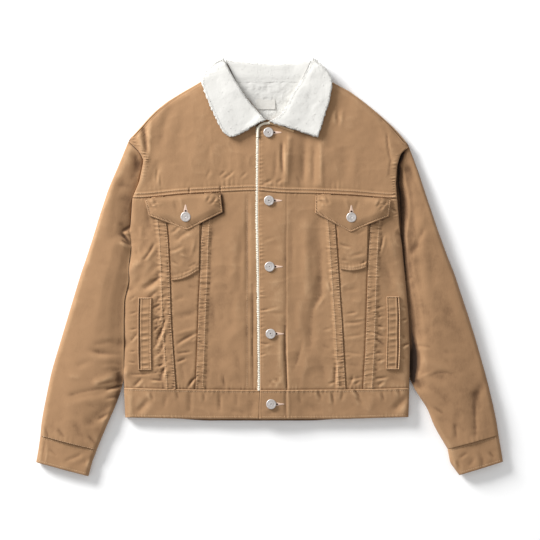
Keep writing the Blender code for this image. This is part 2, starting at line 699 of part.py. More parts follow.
def build_pockets():
    """Chest pockets, pointed flaps and hand pocket welts."""
    for side, pocket in (("left", POCKET_LEFT), ("right", POCKET_RIGHT)):
        plan = sections_plan(pocket, spread((0,), (0,), 5))
        overlay(f"chest_pocket_{side}", plan, lower_top, POCKET_WALL, CAMEL)
    for side, flap in (("left", FLAP_LEFT), ("right", FLAP_RIGHT)):
        plan = sections_plan(flap, spread((0,), (0,), 3))
        overlay(f"pocket_flap_{side}", plan, lower_top, FLAP_WALL, CAMEL, lift=FLAP_LIFT)
    for side, welt in (("left", WELT_LEFT), ("right", WELT_RIGHT)):
        plan = sections_plan(welt, spread((0,), (0,), 1))
        overlay(f"pocket_welt_{side}", plan, lower_top, WELT_WALL, CAMEL, reach=WELT_REACH)


def build_front_pile():
    """Pile of the lining that shows as a strip along the edge of the top front, above the waistband."""
    levels = (PILE_END, *LOWER_LEVELS[1:], *YOKE_PILE_LEVELS)
    plan = np.array([[(front_edge(y) - PILE_WIDTH * share - LAYER_GAP * (1 - 2 * share), y)
                      for share in (1.0, 0.5, 0.0)] for y in levels])
    above = np.full(plan.shape[:2], PILE_TOP)
    above[:, 1] += PILE_BULGE
    below = np.full(plan.shape[:2], TONGUE_TOP + LAYER_GAP)
    closed_sheet("front_edge_pile", plan, above, below, PILE)


# ---------------------------------------------------------------- collar and neck

def under_collar(x, y):
    """What the collar lies on: the yokes, and a level ledge inside the neck and past the shoulders."""
    in_neck = y > NECK_START and read_x(NECK_LEFT, y) < x < read_x(NECK_RIGHT, y)
    past_shoulder = y > SHOULDER_TOP or not read_x(SHOULDER_LEFT, y) < x < read_x(SHOULDER_RIGHT, y)
    return NECK_LEDGE if in_neck or past_shoulder else yoke_top(x, y)


def collar_swell(sections):
    """Shape of a collar fall over its wall: high at the roll line and rounded off at its edges."""
    roll_line = np.array([(row[0], row[1]) for row in sections])
    outer = [(row[2], row[3]) for row in sections]
    free_edge = np.array([sections[0][:2], *outer, sections[-1][:2]])

    def swell(x, y):
        from_roll = distance_to(roll_line, x, y)
        from_edge = distance_to(free_edge, x, y)
        rise = COLLAR_ROLL * (1.0 - ease(from_roll / COLLAR_ROLL_WIDTH))
        inner_drop = COLLAR_INNER_DROP * (1.0 - quarter_round(from_roll / COLLAR_INNER_ROLL))
        outer_drop = COLLAR_EDGE_DROP * (1.0 - quarter_round(from_edge / COLLAR_EDGE_ROLL))
        return rise - max(inner_drop, outer_drop)
    return swell


def build_collar():
    """Collar: a fall over each front, the stand inside the neck and the fall folded under the back."""
    for side, sections in (("left", COLLAR_LEFT), ("right", COLLAR_RIGHT)):
        plan = sections_plan(sections, spread(FALL_FIRST, FALL_LAST, 2))
        overlay(f"collar_fall_{side}", plan, under_collar, COLLAR_WALL, PILE, reach=COLLAR_REACH,
                lift=LAYER_GAP, swell=collar_swell(sections), rounds=2)
    plan = sections_plan(refined(STAND, 2), spread(STAND_FIRST, FALL_LAST, 1))
    edge = np.array([(row[2], row[3]) for row in STAND])
    panel("collar_stand", plan, lambda x, y: STAND_TOP - STAND_DROP * (
        1.0 - quarter_round(distance_to(edge, x, y) / COLLAR_EDGE_ROLL)),
        lambda x, y: FALL_BACK_WALL + LAYER_GAP, PILE)
    sections = [(x1, neckline_or_shoulder(x1) + FALL_GAP, x2, y2) for x1, x2, y2 in FALL_BACK]
    plan = sections_plan(sections, spread((0,), FALL_BACK_LAST, 1))
    edge = np.array([(x2, y2) for x1, x2, y2 in FALL_BACK])
    panel("collar_fall_back", plan, lambda x, y: FALL_BACK_WALL - FALL_BACK_DROP * (
        1.0 - quarter_round(distance_to(edge, x, y) / FALL_BACK_ROLL)),
        lambda x, y: FALL_BACK_DROP * (1.0 - quarter_round(distance_to(edge, x, y) / FALL_BACK_ROLL)), PILE)


def neckline_or_shoulder(x):
    """Upper edge of the back yoke, read across the jacket."""
    if abs(x) < BACK_NECK_HALF + BACK_NECK_RISE:
        return neckline_y(x)
    shoulder = SHOULDER_LEFT if x < 0 else SHOULDER_RIGHT
    keep = shoulder["y"] > SHOULDER_CLEAR
    order = np.argsort(shoulder["x"][keep])
    return float(np.interp(x, shoulder["x"][keep][order], shoulder["y"][keep][order]))


def build_neck():
    """Pile lining inside the neck, with the bare label on it."""
    plan = plan_of(LINING_LEVELS, lambda x, level: level, curve_of(NECK_LEFT), curve_of(NECK_RIGHT),
                   spread((0,), (0,), 5), first_gap=LINING_GAP, second_gap=LINING_GAP)
    lining_top = FRONT_BOTTOM + LINING_WALL
    panel("neck_lining", plan, lambda x, y: lining_top, lambda x, y: FRONT_BOTTOM, PILE)
    plan = np.array([[(x, y) for x in LABEL_X] for y in LABEL_Y])
    label_under = lining_top + LAYER_GAP
    closed_sheet("neck_label", plan, np.full(plan.shape[:2], label_under + LABEL_WALL),
                 np.full(plan.shape[:2], label_under), LABEL_WHITE)


# ---------------------------------------------------------------- sleeves and cuffs

def ring(outer, inner, bulge, thick, crown_height, top_shares, under_shares):
    """Outer and inner loop of a pressed sleeve: over the top and back along the flat underside."""
    outer, inner = np.array(outer), np.array(inner)
    width = float(np.hypot(*(inner - outer)))
    shell, slit = [], []
    loop = [(share, 1) for share in top_shares] + [(share, -1) for share in under_shares]
    inset = SLEEVE_EDGE_WALL / width
    for share, face in loop:
        from_edge = min(share, 1.0 - share) * width
        x, y = outer + (inner - outer) * share + (bulge(share), 0.0)
        if face > 0:
            full = thick + crown_height * ease(from_edge / SLEEVE_CROWN_REACH) + folds(x, y)
            z = SLEEVE_MIDDLE + (full - SLEEVE_MIDDLE) * quarter_round(from_edge / SLEEVE_ROLL)
        else:
            z = SLEEVE_MIDDLE * (1.0 - quarter_round(from_edge / SLEEVE_UNDER_ROLL))
        shell.append((x, y, z))
        share_in = inset + share * (1.0 - 2.0 * inset)
        x, y = outer + (inner - outer) * share_in + (bulge(share_in), 0.0)
        slit.append((x, y, SLEEVE_MIDDLE + face * SLIT_HALF * quarter_round(from_edge / SLIT_TAPER)))
    return shell, slit


def tube(name, rings):
    """A cloth tube open at both ends, from its outer and inner loops."""
    count = len(rings[0][0])
    size = len(rings) * count
    points = [point for shell, slit in rings for point in shell]
    points += [point for shell, slit in rings for point in slit]
    faces = []
    for step in range(count):
        after = (step + 1) % count
        for row in range(len(rings) - 1):
            here, there = row * count, (row + 1) * count
            faces.append((here + step, here + after, there + after, there + step))
            faces.append((size + here + after, size + here + step, size + there + step, size + there + after))
        last = (len(rings) - 1) * count
        faces.append((after, step, size + step, size + after))
        faces.append((last + step, last + after, size + last + after, size + last + step))
    finish_object(name, mesh_of(name, points, faces), CAMEL)


def build_sleeve(side, rows, cuff_rows, armhole, top_shares, under_shares, out):
    """A sleeve from the armhole curve to the cuff seam, and the cuff below it."""
    top_y, bottom_y = rows["outer_y"][0], rows["inner_y"][0]

    def armhole_bulge(share):
        y = top_y + (bottom_y - top_y) * share
        straight = rows["outer_x"][0] + (rows["inner_x"][0] - rows["outer_x"][0]) * share
        return armhole(y) + out * ARMHOLE_GAP - straight

    rings = []
    for x1, y1, x2, y2, follow in zip(*rows.values()):
        thick = SLEEVE_THICK - ARMHOLE_THINNER * follow
        rings.append(ring((x1, y1), (x2, y2), lambda share: armhole_bulge(share) * follow, thick,
                          SLEEVE_CROWN, top_shares, under_shares))
    tube(f"sleeve_{side}", rings)
    seam_start, seam_end = np.array((x1, y1)), np.array((x2, y2))
    run = (seam_end - seam_start) / np.hypot(*(seam_end - seam_start))
    down = np.array((run[1], -run[0])) * (-1 if run[0] < 0 else 1)
    first = (seam_start + down * CUFF_GAP, seam_end + down * CUFF_GAP)
    sections = [first] + [((x1, y1), (x2, y2)) for x1, y1, x2, y2 in cuff_rows]
    rings = [ring(outer, inner, lambda share: 0.0, CUFF_THICK, CUFF_CROWN, top_shares, under_shares)
             for outer, inner in sections]
    tube(f"cuff_{side}", rings)


# ---------------------------------------------------------------- buttons

def build_button(name, x, y, support):
    """A tack button, turned from its profile, seated on what lies below it."""
    seat = rest_on(support, x, y, BUTTON_PROFILE[1][0])
    points, faces = [], []
    for radius, height in BUTTON_PROFILE:
        for turn in np.linspace(0, 2 * np.pi, BUTTON_STEPS + 1)[:-1]:
            points.append((x + radius * np.cos(turn), y + radius * np.sin(turn), seat + height))
    rows = len(BUTTON_PROFILE)
    for step in range(BUTTON_STEPS):
        after = (step + 1) % BUTTON_STEPS
        for row in range(rows - 1):
            here, there = row * BUTTON_STEPS, (row + 1) * BUTTON_STEPS
            faces.append((here + step, here + after, there + after, there + step))
    faces.append(tuple(reversed(range(BUTTON_STEPS))))
    faces.append(tuple(range((rows - 1) * BUTTON_STEPS, rows * BUTTON_STEPS)))
    finish_object(name, mesh_of(name, points, faces), METAL, metallic=1.0, roughness=0.4)


def flap_top(x, y):
    """Top of a pocket flap."""
    return lower_top(x, y) + FLAP_LIFT + FLAP_WALL + FLAP_SETTLE + LAYER_GAP


def build_buttons():
    """Five buttons down the front and one on each flap."""
    for number, (x, y) in enumerate(FRONT_BUTTONS, start=1):
        support = yoke_top if y > YOKE_LEVEL + YOKE_BAND else waist_top if y < LOWER_LEVELS[0] else lower_top
        build_button(f"front_button_{number}", x, y, support)
    for side, (x, y) in zip(("left", "right"), FLAP_BUTTONS):
        build_button(f"flap_button_{side}", x, y, flap_top)


for old in list(bpy.data.objects):
    bpy.data.objects.remove(old)
build_back()
build_lower_fronts()
build_yokes()
build_waistbands()
build_pockets()
build_front_pile()
build_neck()
build_collar()
build_sleeve("left", SLEEVE_LEFT, CUFF_LEFT, armhole_of("side_left", SHOULDER_LEFT), SHARES_LEFT,
             UNDER_LEFT, -1)
build_sleeve("right", SLEEVE_RIGHT, CUFF_RIGHT, armhole_of("side_right", SHOULDER_RIGHT), SHARES_RIGHT,
             UNDER_RIGHT, 1)
build_buttons()
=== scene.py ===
"""Sherpa lined jacket, buttoned up and laid flat on its back.

Sizes in the tables are in millimetres. X runs across the jacket, Y from its hem to its collar and Z up
from the surface that it lies on. "left" is the -X side and "right" the +X side, whose front laps over.
"""

import bpy
import numpy as np
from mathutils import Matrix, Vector


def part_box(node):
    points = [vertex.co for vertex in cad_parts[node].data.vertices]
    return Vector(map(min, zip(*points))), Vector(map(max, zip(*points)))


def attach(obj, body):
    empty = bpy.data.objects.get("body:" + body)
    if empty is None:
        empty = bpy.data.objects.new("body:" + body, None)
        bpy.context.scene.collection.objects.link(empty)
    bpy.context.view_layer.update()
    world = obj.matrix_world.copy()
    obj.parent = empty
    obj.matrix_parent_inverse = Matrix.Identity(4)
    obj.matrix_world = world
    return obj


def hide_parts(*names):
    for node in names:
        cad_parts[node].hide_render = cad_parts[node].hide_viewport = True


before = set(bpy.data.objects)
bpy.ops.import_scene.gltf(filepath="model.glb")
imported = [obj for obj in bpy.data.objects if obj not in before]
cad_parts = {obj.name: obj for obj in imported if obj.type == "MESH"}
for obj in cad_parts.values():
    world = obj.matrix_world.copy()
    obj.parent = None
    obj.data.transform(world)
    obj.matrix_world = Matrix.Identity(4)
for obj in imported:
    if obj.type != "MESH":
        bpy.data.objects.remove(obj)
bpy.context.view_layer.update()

# ---------------------------------------------------------------------------------------------- back
# Back panel, back yoke and back waistband: brushed camel cotton with pile inside, cut as one layer and
# lying flat. The yoke wraps a little way over the shoulders, and the waistband reaches below the front.

MM = 0.001
BACK_WALL = 7.0
BACK_EDGE_LIFT = 2.6
BACK_EDGE_ROLL = 8.0
SHOULDER_WRAP = 3.2       # strip of the back yoke that shows beyond the shoulder seam
WRAP_TOP = 10.4
YOKE_LEVEL = 128.0
SHOULDER_TOP = 362.0
NEAR = (0.0, 0.3, 0.7, 1.2, 1.9, 3.0)
BACK_STEP = 9.0
SEAM_GAP = 0.15           # each piece stops this far short of its seam


def table(names, rows):
    """Named columns of a short table."""
    return {name: np.array(column, float) for name, column in zip(names.split(), zip(*rows))}


# Where each long seam runs at height y, from the waist seam to the yoke seam
BODY = table("y side_left outer_left inner_left inner_right outer_right side_right", [
    (-290, -267, -172, -138, 142, 172, 257), (-223, -270, -173, -137, 141, 173, 259),
    (-155, -270, -178, -134, 137, 177, 260), (-98, -270, -182, -132, 134, 179, 258),
    (-61, -269, -183, -131, 131, 180, 255), (-27, -261, -184, -129, 129, 181, 252),
    (2, -261, -185, -128, 127, 182, 249), (43, -256, -187, -127, 124, 184, 245),
    (61, -262, -188, -126, 123, 185, 242), (73, -258, -190, -125, 122, 186, 241),
    (97, -256, -192, -124, 119, 188, 239), (128, -254, -196, -121, 114, 191, 236),
])
# Armhole and shoulder, from the yoke seam up to the neck
SHOULDER_LEFT = table("y x", [
    (158, -241), (198, -233), (215, -242), (234, -263), (260, -239), (275, -226), (290, -211), (307, -190),
    (326, -159), (343, -129), (354, -112), (362, -100),
])
SHOULDER_RIGHT = table("y x", [
    (155, 234), (188, 236), (211, 243), (224, 260), (246, 242), (260, 229), (281, 206), (305, 177),
    (326, 149), (340, 121), (354, 103), (362, 95),
])
ARMPIT = 61.0
ARMHOLE_TOP_LEFT = 234.0
ARMHOLE_TOP_RIGHT = 224.0
YOKE_SEAM = table("x y", [
    (-280, 128), (-231, 128), (-165, 135), (-91, 139), (-30, 142), (-19, 141), (20, 137), (83, 136),
    (155, 133), (225, 127), (280, 128),
])
WAIST_SEAM = table("x y", [
    (-290, -223), (-140, -226), (-17, -227), (140, -226), (280, -223),
])
BACK_HEM = table("x y", [
    (-290, -277), (-190, -280), (-120, -283), (90, -283), (150, -280), (280, -276),
])


def smooth_line(places, values, spread):
    """A seam or edge through a few measured points, eased so that it bends as cloth does."""
    fine = np.arange(places[0], places[-1] + 1.0)
    raw = np.interp(fine, places, values)
    reach = int(3 * spread)
    taps = np.exp(-0.5 * (np.arange(-reach, reach + 1) / spread) ** 2)
    before, after = 2 * raw[0] - raw[reach:0:-1], 2 * raw[-1] - raw[-2:-reach - 2:-1]
    soft = np.convolve(np.concatenate((before, raw, after)), taps / taps.sum(), mode="valid")
    return lambda at: np.interp(at, fine, soft)


def whole_side(side, shoulder):
    """Edge of the body from the hem up the side seam, round the armhole and over the shoulder."""
    return (np.append(BODY["y"], shoulder["y"]), np.append(BODY[side], shoulder["x"]))


left_side = smooth_line(*whole_side("side_left", SHOULDER_LEFT), 3)
right_side = smooth_line(*whole_side("side_right", SHOULDER_RIGHT), 3)
yoke_seam = smooth_line(*YOKE_SEAM.values(), 12)
waist_seam = smooth_line(*WAIST_SEAM.values(), 12)
back_hem = smooth_line(*BACK_HEM.values(), 12)


def ease(away, width=1.0):
    """Smooth step from 0 to 1 over a width."""
    part = np.clip(away / width, 0.0, 1.0)
    return part * part * (3.0 - 2.0 * part)


def faded(away, width):
    """Smooth step from 1 to 0 over a width."""
    return 1.0 - ease(away, width)


def quarter_round(part):
    """0 at an edge and 1 where its roll is over, along a quarter of an ellipse."""
    return np.sqrt(1.0 - (1.0 - np.clip(part, 0.0, 1.0)) ** 2)


def rolled(away, width):
    """1 at an edge, falling to 0 where its roll is over."""
    return 1.0 - quarter_round(away / width)


def bell(away, width, power=2):
    """1 at a line, fading to both sides of it (squarer with more power)."""
    return np.exp(-(away / width) ** power)


def away_from(line, x, y):
    """Shortest distance from each point to a chain of straight runs."""
    nearest = np.full(np.shape(x), np.inf)
    for (x1, y1), (x2, y2) in zip(line[:-1], line[1:]):
        run_x, run_y = x2 - x1, y2 - y1
        squared = max(run_x ** 2 + run_y ** 2, 1e-6)
        part = np.clip(((x - x1) * run_x + (y - y1) * run_y) / squared, 0.0, 1.0)
        nearest = np.minimum(nearest, (x - x1 - run_x * part) ** 2 + (y - y1 - run_y * part) ** 2)
    return np.sqrt(nearest)


def mottle(x, y, size, seed):
    """Soft unevenness between -1 and 1, in patches of about one size (along one line where y is 0)."""
    corners = np.random.default_rng(seed).uniform(-1.0, 1.0, (64, 64))
    across, up = x / size + 31.7, y / size + 27.3
    column, row = np.floor(across).astype(int), np.floor(up).astype(int)
    part_x, part_y = ease(across - column), ease(up - row)
    low = corners[row % 64, column % 64] * (1 - part_x) + corners[row % 64, (column + 1) % 64] * part_x
    high = corners[(row + 1) % 64, column % 64] * (1 - part_x)
    high += corners[(row + 1) % 64, (column + 1) % 64] * part_x
    return low * (1 - part_y) + high * part_y


def spread(length, step, first=NEAR, last=NEAR):
    """Places across a piece, close together at both edges: a share of the way and millimetres to add."""
    between = np.linspace(0.0, 1.0, max(2, int((length - first[-1] - last[-1]) / step) + 2))
    rows = [(0.0, near) for near in first[:-1]]
    rows += [(part, first[-1] * (1 - part) - last[-1] * part) for part in between]
    rows += [(1.0, -near) for near in last[-2::-1]]
    return np.array(rows).T


def plan_between(first, second, low, high, across, up):
    """Plan grid of a panel between two lines up the garment and two lines across it."""
    part_x, add_x = across[:, None, :]
    part_y, add_y = up[:, :, None]
    y = 0.0 * part_x + 0.5 * (low(0.0) + high(0.0)) * np.ones_like(part_y)
    for _ in range(12):
        x = first(y) * (1 - part_x) + second(y) * part_x + add_x
        y = low(x) * (1 - part_y) + high(x) * part_y + add_y
    return x, y


def neighbours(grid):
    """Sum of the four neighbours of each point of a grid."""
    wide = np.pad(grid, 1, mode="edge")
    return wide[:-2, 1:-1] + wide[2:, 1:-1] + wide[1:-1, :-2] + wide[1:-1, 2:]


def relief_of(grid):
    """How far each point stands above (or below) the cloth close round it, and further round it."""
    mean, close = grid, None
    for turn in range(45):
        mean = (neighbours(mean) + 2 * mean) / 6
        if turn == 4:
            close = mean
    return np.clip((grid - close) / 0.5, -1.0, 1.0) * 0.95 + np.clip((grid - mean) / 1.8, -1.2, 1.0) * 0.6


def placed(name, data):
    """An object of this data, put into the scene."""
    thing = bpy.data.objects.new(name, data)
    bpy.context.collection.objects.link(thing)
    return thing


def make_piece(name, points, faces, finish, rise_and_shade=None, sharp=0.9):
    """An object of points in millimetres, with a value for each point: how far it stands out, less any
    painted shade.
    """
    mesh = bpy.data.meshes.new(name)
    mesh.from_pydata((np.asarray(points) * MM).tolist(), [], faces)
    if rise_and_shade is not None:
        values = np.zeros(len(mesh.vertices), np.float32)
        values[:rise_and_shade.size] = rise_and_shade.ravel()
        mesh.attributes.new("rise_and_shade", "FLOAT", "POINT").data.foreach_set("value", values)
    mesh.shade_smooth()
    mesh.set_sharp_from_angle(angle=sharp)
    mesh.materials.append(finish)
    piece = placed(name, mesh)
    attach(piece, "root")
    return piece


def sewn_sheet(name, x, y, top, under, finish, keep=(), painted_shade=0.0):
    """A wall of cloth over a plan grid. Its hidden underside keeps only a few of the grid's columns."""
    rows, columns = x.shape
    under = np.broadcast_to(np.asarray(under, float), x.shape)
    kept = sorted({0, columns - 1, *keep})
    used = np.zeros(x.shape, bool)
    used[[0, -1]] = True
    used[:, kept] = True
    above = np.arange(rows * columns).reshape(rows, columns)
    below = np.zeros(x.shape, int)
    below[used] = rows * columns + np.arange(used.sum())
    points = np.vstack((np.dstack((x, y, top)).reshape(-1, 3), np.dstack((x, y, under))[used]))
    loops = np.dstack((above[:-1, :-1], above[:-1, 1:], above[1:, 1:], above[1:, :-1]))
    faces = loops.reshape(-1, 4).tolist()
    for first, last in zip(kept, kept[1:]):
        for row in range(rows - 1):
            here = below[row, first:last + 1] if row == 0 else below[row, [first, last]]
            there = below[row + 1, first:last + 1] if row == rows - 2 else below[row + 1, [first, last]]
            faces.append([*there, *here[::-1]])
    rim = [(0, column) for column in range(columns)]
    rim += [(row, columns - 1) for row in range(1, rows)]
    rim += [(rows - 1, column) for column in range(columns - 2, -1, -1)]
    rim += [(row, 0) for row in range(rows - 2, 0, -1)]
    for here, there in zip(rim, rim[1:] + rim[:1]):
        faces.append([above[here], below[here], below[there], above[there]])
    if (x[0, -1] - x[0, 0]) * (y[-1, 0] - y[0, 0]) < (x[-1, 0] - x[0, 0]) * (y[0, -1] - y[0, 0]):
        faces = [face[::-1] for face in faces]
    # Painted shade, where a piece has any, is taken off its relief to darken its colour.
    return make_piece(name, points, faces, finish, relief_of(top) - painted_shade)


surfaces = {}             # plan and top of each piece of cloth, for what is sewn on it


def lengths(x, y, z, axis):
    """Length of each line of a grid over the cloth."""
    steps = [np.diff(values, axis=axis) ** 2 for values in (x, y, z)]
    return np.sqrt(sum(steps)).sum(axis=axis)


def laid_cloth(node, x, y, z, around=1.0):
    """A piece of cloth: hide the solid that it stands for, work out the size that it was cut to, and keep its
    grid.
    """
    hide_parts(node)
    width, length = lengths(x, y, z, 1).max() * around, lengths(x, y, z, 0).max()
    first, second = np.diff(x, axis=1)[:-1], np.diff(y, axis=0)[:, :-1]
    area = np.abs(first * second - np.diff(y, axis=1)[:-1] * np.diff(x, axis=0)[:, :-1]).sum() * around
    area = float(np.clip(area / (width * length), 0.31, 1.0)) * width * length
    surfaces[node] = x, y, z


class Tone:
    """A value in a finish. Arithmetic on it adds the finish's own Math nodes."""

    def __init__(self, finish, socket):
        self.finish, self.socket = finish, socket

    def math(self, operation, first, second=0.0):
        return self.finish.node("ShaderNodeMath", {"operation": operation}, {0: first, 1: second})

    def __add__(self, other):
        return self.math("ADD", self, other)

    def __sub__(self, other):
        return self.math("SUBTRACT", self, other)

    def __rsub__(self, other):
        return self.math("SUBTRACT", other, self)

    def __mul__(self, other):
        return self.math("MULTIPLY", self, other)

    __radd__, __rmul__ = __add__, __mul__

    def between(self, low, high):
        """0 at the low value and 1 at the high one."""
        sockets = {"From Min": low, "From Max": high, "Value": self}
        return self.finish.node("ShaderNodeMapRange", {"interpolation_type": "SMOOTHSTEP"}, sockets)

    def mix(self, first, second):
        """The first colour where this is 0 and the second where it is 1."""
        return self.finish.node("ShaderNodeMix", {"data_type": "RGBA"}, {0: self, 6: first, 7: second}, 2)


class Finish:
    """A material of the jacket and the nodes that it is made of."""

    def __init__(self, name, **constants):
        self.material = bpy.data.materials.new(name)
        self.material.use_nodes = True
        self.tree = self.material.node_tree
        self.shader = self.tree.nodes["Principled BSDF"]
        self.put(**constants)
        self.place = self.node("ShaderNodeTexCoord", out=3)

    def node(self, kind, settings=None, sockets=None, out=0):
        """Any node: its kind, its settings, and the values or links of its sockets."""
        made = self.tree.nodes.new(kind)
        for key, value in (settings or {}).items():
            setattr(made, key, value)
        for key, value in (sockets or {}).items():
            self.plug(made.inputs[key], value)
        return Tone(self, made.outputs[out])

    def plug(self, socket, value):
        if isinstance(value, Tone):
            self.tree.links.new(value.socket, socket)
        else:
            socket.default_value = value

    def put(self, **values):
        """Values or links of the shader's own sockets."""
        for key, value in values.items():
            self.plug(self.shader.inputs[key.replace("_", " ")], value)

    def speckle(self, size, detail=2.0, stretch=(1.0, 1.0, 1.0)):
        """Noise whose grains are about this many millimetres across."""
        place = self.place
        if stretch != (1.0, 1.0, 1.0):
            place = self.node("ShaderNodeMapping", {}, {"Vector": place, "Scale": stretch})
        return self.node("ShaderNodeTexNoise", {}, {"Vector": place, "Scale": 1000 / size, "Detail": detail})

    def cells(self, size):
        """Distance within irregular cells about this many millimetres across."""
        sockets = {"Vector": self.place, "Scale": 1000 / size}
        return self.node("ShaderNodeTexVoronoi", {}, sockets)

    def rise_and_shade(self):
        """How far the cloth stands out, less its painted shade, from the mesh."""
        return self.node("ShaderNodeAttribute", {"attribute_name": "rise_and_shade"}, out=2)

    def bump(self, height, depth):
        """Fine relief, its height from 0 to 1 and its depth in millimetres."""
        self.put(Normal=self.node("ShaderNodeBump", {}, {"Height": height, "Distance": depth * MM}))


# The deepest tone is near black painted shade, for the hollows between sleeve and body; the dark and light
# tones also carry painted shade and highlight from the relief.
CAMEL_DEEP_SHADE = (0.02, 0.009, 0.004, 1.0)
CAMEL_DARK = (0.125, 0.064, 0.03, 1.0)
CAMEL = (0.318, 0.182, 0.092, 1.0)
CAMEL_LIGHT = (0.44, 0.272, 0.148, 1.0)


def camel_cloth(name):
    """Brushed cotton twill: a soft nap that hides the weave, lighter where it is raised (rubbed nap, and
    partly painted highlight) and darker down in creases and hollows as painted shade.
    """
    cloth = Finish(name, Roughness=0.95, Sheen_Weight=0.12, Sheen_Roughness=0.6, Specular_IOR_Level=0.15)
    nap = cloth.speckle(1.1, 3.0)
    streaks = cloth.speckle(2.6, 2.0, (1.0, 0.35, 1.0))
    patches = cloth.speckle(24.0, 3.0)
    broad = cloth.speckle(90.0, 2.0)
    shade = 0.5 + (nap - 0.5) * 0.5 + (streaks - 0.5) * 0.3 + (patches - 0.5) * 0.6 + (broad - 0.5) * 0.6
    # Raised cloth is lighter and low cloth darker: partly rubbed nap and partly painted highlight and shade,
    # with the painted shade given to each piece added on.
    shade += cloth.rise_and_shade() * 0.42
    lower = shade.between(-0.45, 0.5).mix(shade.between(-1.0, -0.4).mix(CAMEL_DEEP_SHADE, CAMEL_DARK), CAMEL)
    cloth.put(Base_Color=shade.between(0.5, 1.25).mix(lower, CAMEL_LIGHT))
    cloth.bump(nap * 0.7 + streaks * 0.3, 0.35)
    return cloth.material


camel = camel_cloth("camel_cotton")


def sew(node, x, y, top, under, keep=(), painted_shade=0.0, kind="cloth", finish=camel):
    """A sewn sheet of cloth, with its solid hidden and its grid kept."""
    piece = sewn_sheet(f"{node}_{kind}", x, y, top, under, finish, keep, painted_shade)
    laid_cloth(node, x, y, top)


def back_under(x, y):
    """Underside of the back: flat on the surface, and lifted a little at its free edges."""
    nearest = np.minimum(x - left_side(y), right_side(y) - x)
    return BACK_EDGE_LIFT * rolled(np.maximum(nearest, 0.0), BACK_EDGE_ROLL)


def back_wrap(x, y):
    """The back yoke comes up round the shoulder edge, to meet the front at the shoulder seam."""
    heights = np.zeros(np.shape(x))
    for side, top in ((left_side, ARMHOLE_TOP_LEFT), (right_side, ARMHOLE_TOP_RIGHT)):
        steps = np.arange(top, SHOULDER_TOP + 1, 6.0)
        away = away_from(np.column_stack((side(steps), steps)), x, y)
        ridge = faded(away - SHOULDER_WRAP + 0.6, 0.5) * quarter_round(away / 2.4)
        heights = np.maximum(heights, ridge * (WRAP_TOP - BACK_WALL) * ease(y - top, 8.0))
    return heights


BACK_NECK = 341.0


def back_neckline(x):
    """Back neckline, which climbs to the shoulders at both ends."""
    return BACK_NECK + (SHOULDER_TOP - BACK_NECK) * ease(np.abs(x) - 58.0, 34.0)


def shows_below(x):
    """How far the back's hem peeps out below the front's, from 0 to 1 along its middle."""
    return ease(x + 186, 70.0) * ease(140 - x, 70.0)


EDGE_COLUMNS = (0.0, 0.5, 1.0, 1.6, 2.2, 2.7, 3.2, 4.2, 6.0, 9.0)
across_back = spread(530, BACK_STEP, EDGE_COLUMNS, EDGE_COLUMNS)
for name, low, high, gap, tall in (
        ("waistband_back", lambda x: back_hem(x) - 1.7 * shows_below(x), waist_seam, (0.0, SEAM_GAP), 57),
        ("back_panel", waist_seam, yoke_seam, (SEAM_GAP, SEAM_GAP), 350),
        ("back_yoke", yoke_seam, back_neckline, (SEAM_GAP, 0.0), 230)):
    rows = spread(tall, BACK_STEP if name != "back_yoke" else 4.0)
    rows[1] += gap[0] * (1 - rows[0]) - gap[1] * rows[0]
    x, y = plan_between(left_side, right_side, low, high, across_back, rows)
    near = np.minimum(y - low(x), high(x) - y)
    top = BACK_WALL - 0.8 * bell(near, 2.0) + 0.15 * mottle(x, y, 30, 3)
    if name == "back_yoke":
        top += back_wrap(x, y)
    under = back_under(x, y)
    if name == "waistband_back":
        under = np.maximum(under, BACK_EDGE_LIFT * rolled(y - low(x), BACK_EDGE_ROLL))
        top = np.maximum(top - 1.6 * rolled(y - low(x), 3.0), under + 1.5)
    columns = x.shape[1]
    # The strip of the back waistband that shows below the front's hem is painted darker, as the shade under
    # that hem.
    sew(name, x, y, np.maximum(top, under + 1.2), under,
        keep=[*range(1, 10), *range(columns - 10, columns - 1)],
        painted_shade=2.2 * shows_below(x) * bell(near, 6.0) * (name == "waistband_back"))

# ------------------------------------------------------------------------------------- lower fronts
# Each front is a side panel, a tapered middle panel below the flap and a centre panel with the button
# stand. The seams are lapped and double-stitched, and pucker between their two rows of stitches.

FRONT_BOTTOM = BACK_WALL + 0.3
FRONT_WALL = 6.5
CROWN = 3.0
CROWN_REACH = 70.0
NECK_START = 268.0
TONGUE_TOP = 10.5
TONGUE_END = 20.0
TONGUE_HIGH = 258.0       # the tongue of the under front ends here, below its top corner
PILE_WIDTH = 4.3
LAP_RISE = 3.3
LAP_WIDTH = 34.0
LAP_FADE = 60.0
SEAM_RISE = 1.3
SEAM_PUCKER = 0.75        # height of the ripples along a lapped seam
OUTER_BAND = 18.0
INNER_BAND = 15.0
YOKE_BAND = 10.0
FIRST_ROW = 2.2           # stitch rows of a lapped seam: from its edge, and from the end of its band
SECOND_ROW = 2.0
FRONT_STEP = 2.8
SEAM_STEP = 1.45          # step along a seam, fine enough for its puckers
FRONT_HEM = table("x y", [
    (-290, -278), (-140, -281), (-17, -281), (140, -281), (280, -277),
])
FRONT_EDGE = table("y x", [
    (-290, -19), (-246, -19), (-225, -17), (-116, -18), (-24, -19), (89, -21), (262, -20),
])
NECK_LEFT = table("y x", [
    (263, -22), (271, -27), (288, -44), (309, -60), (334, -75), (352, -85), (362, -91),
])
NECK_RIGHT = table("y x", [
    (262, -17), (266, -15), (275, 36), (299, 50), (319, 60), (335, 73), (362, 86),
])
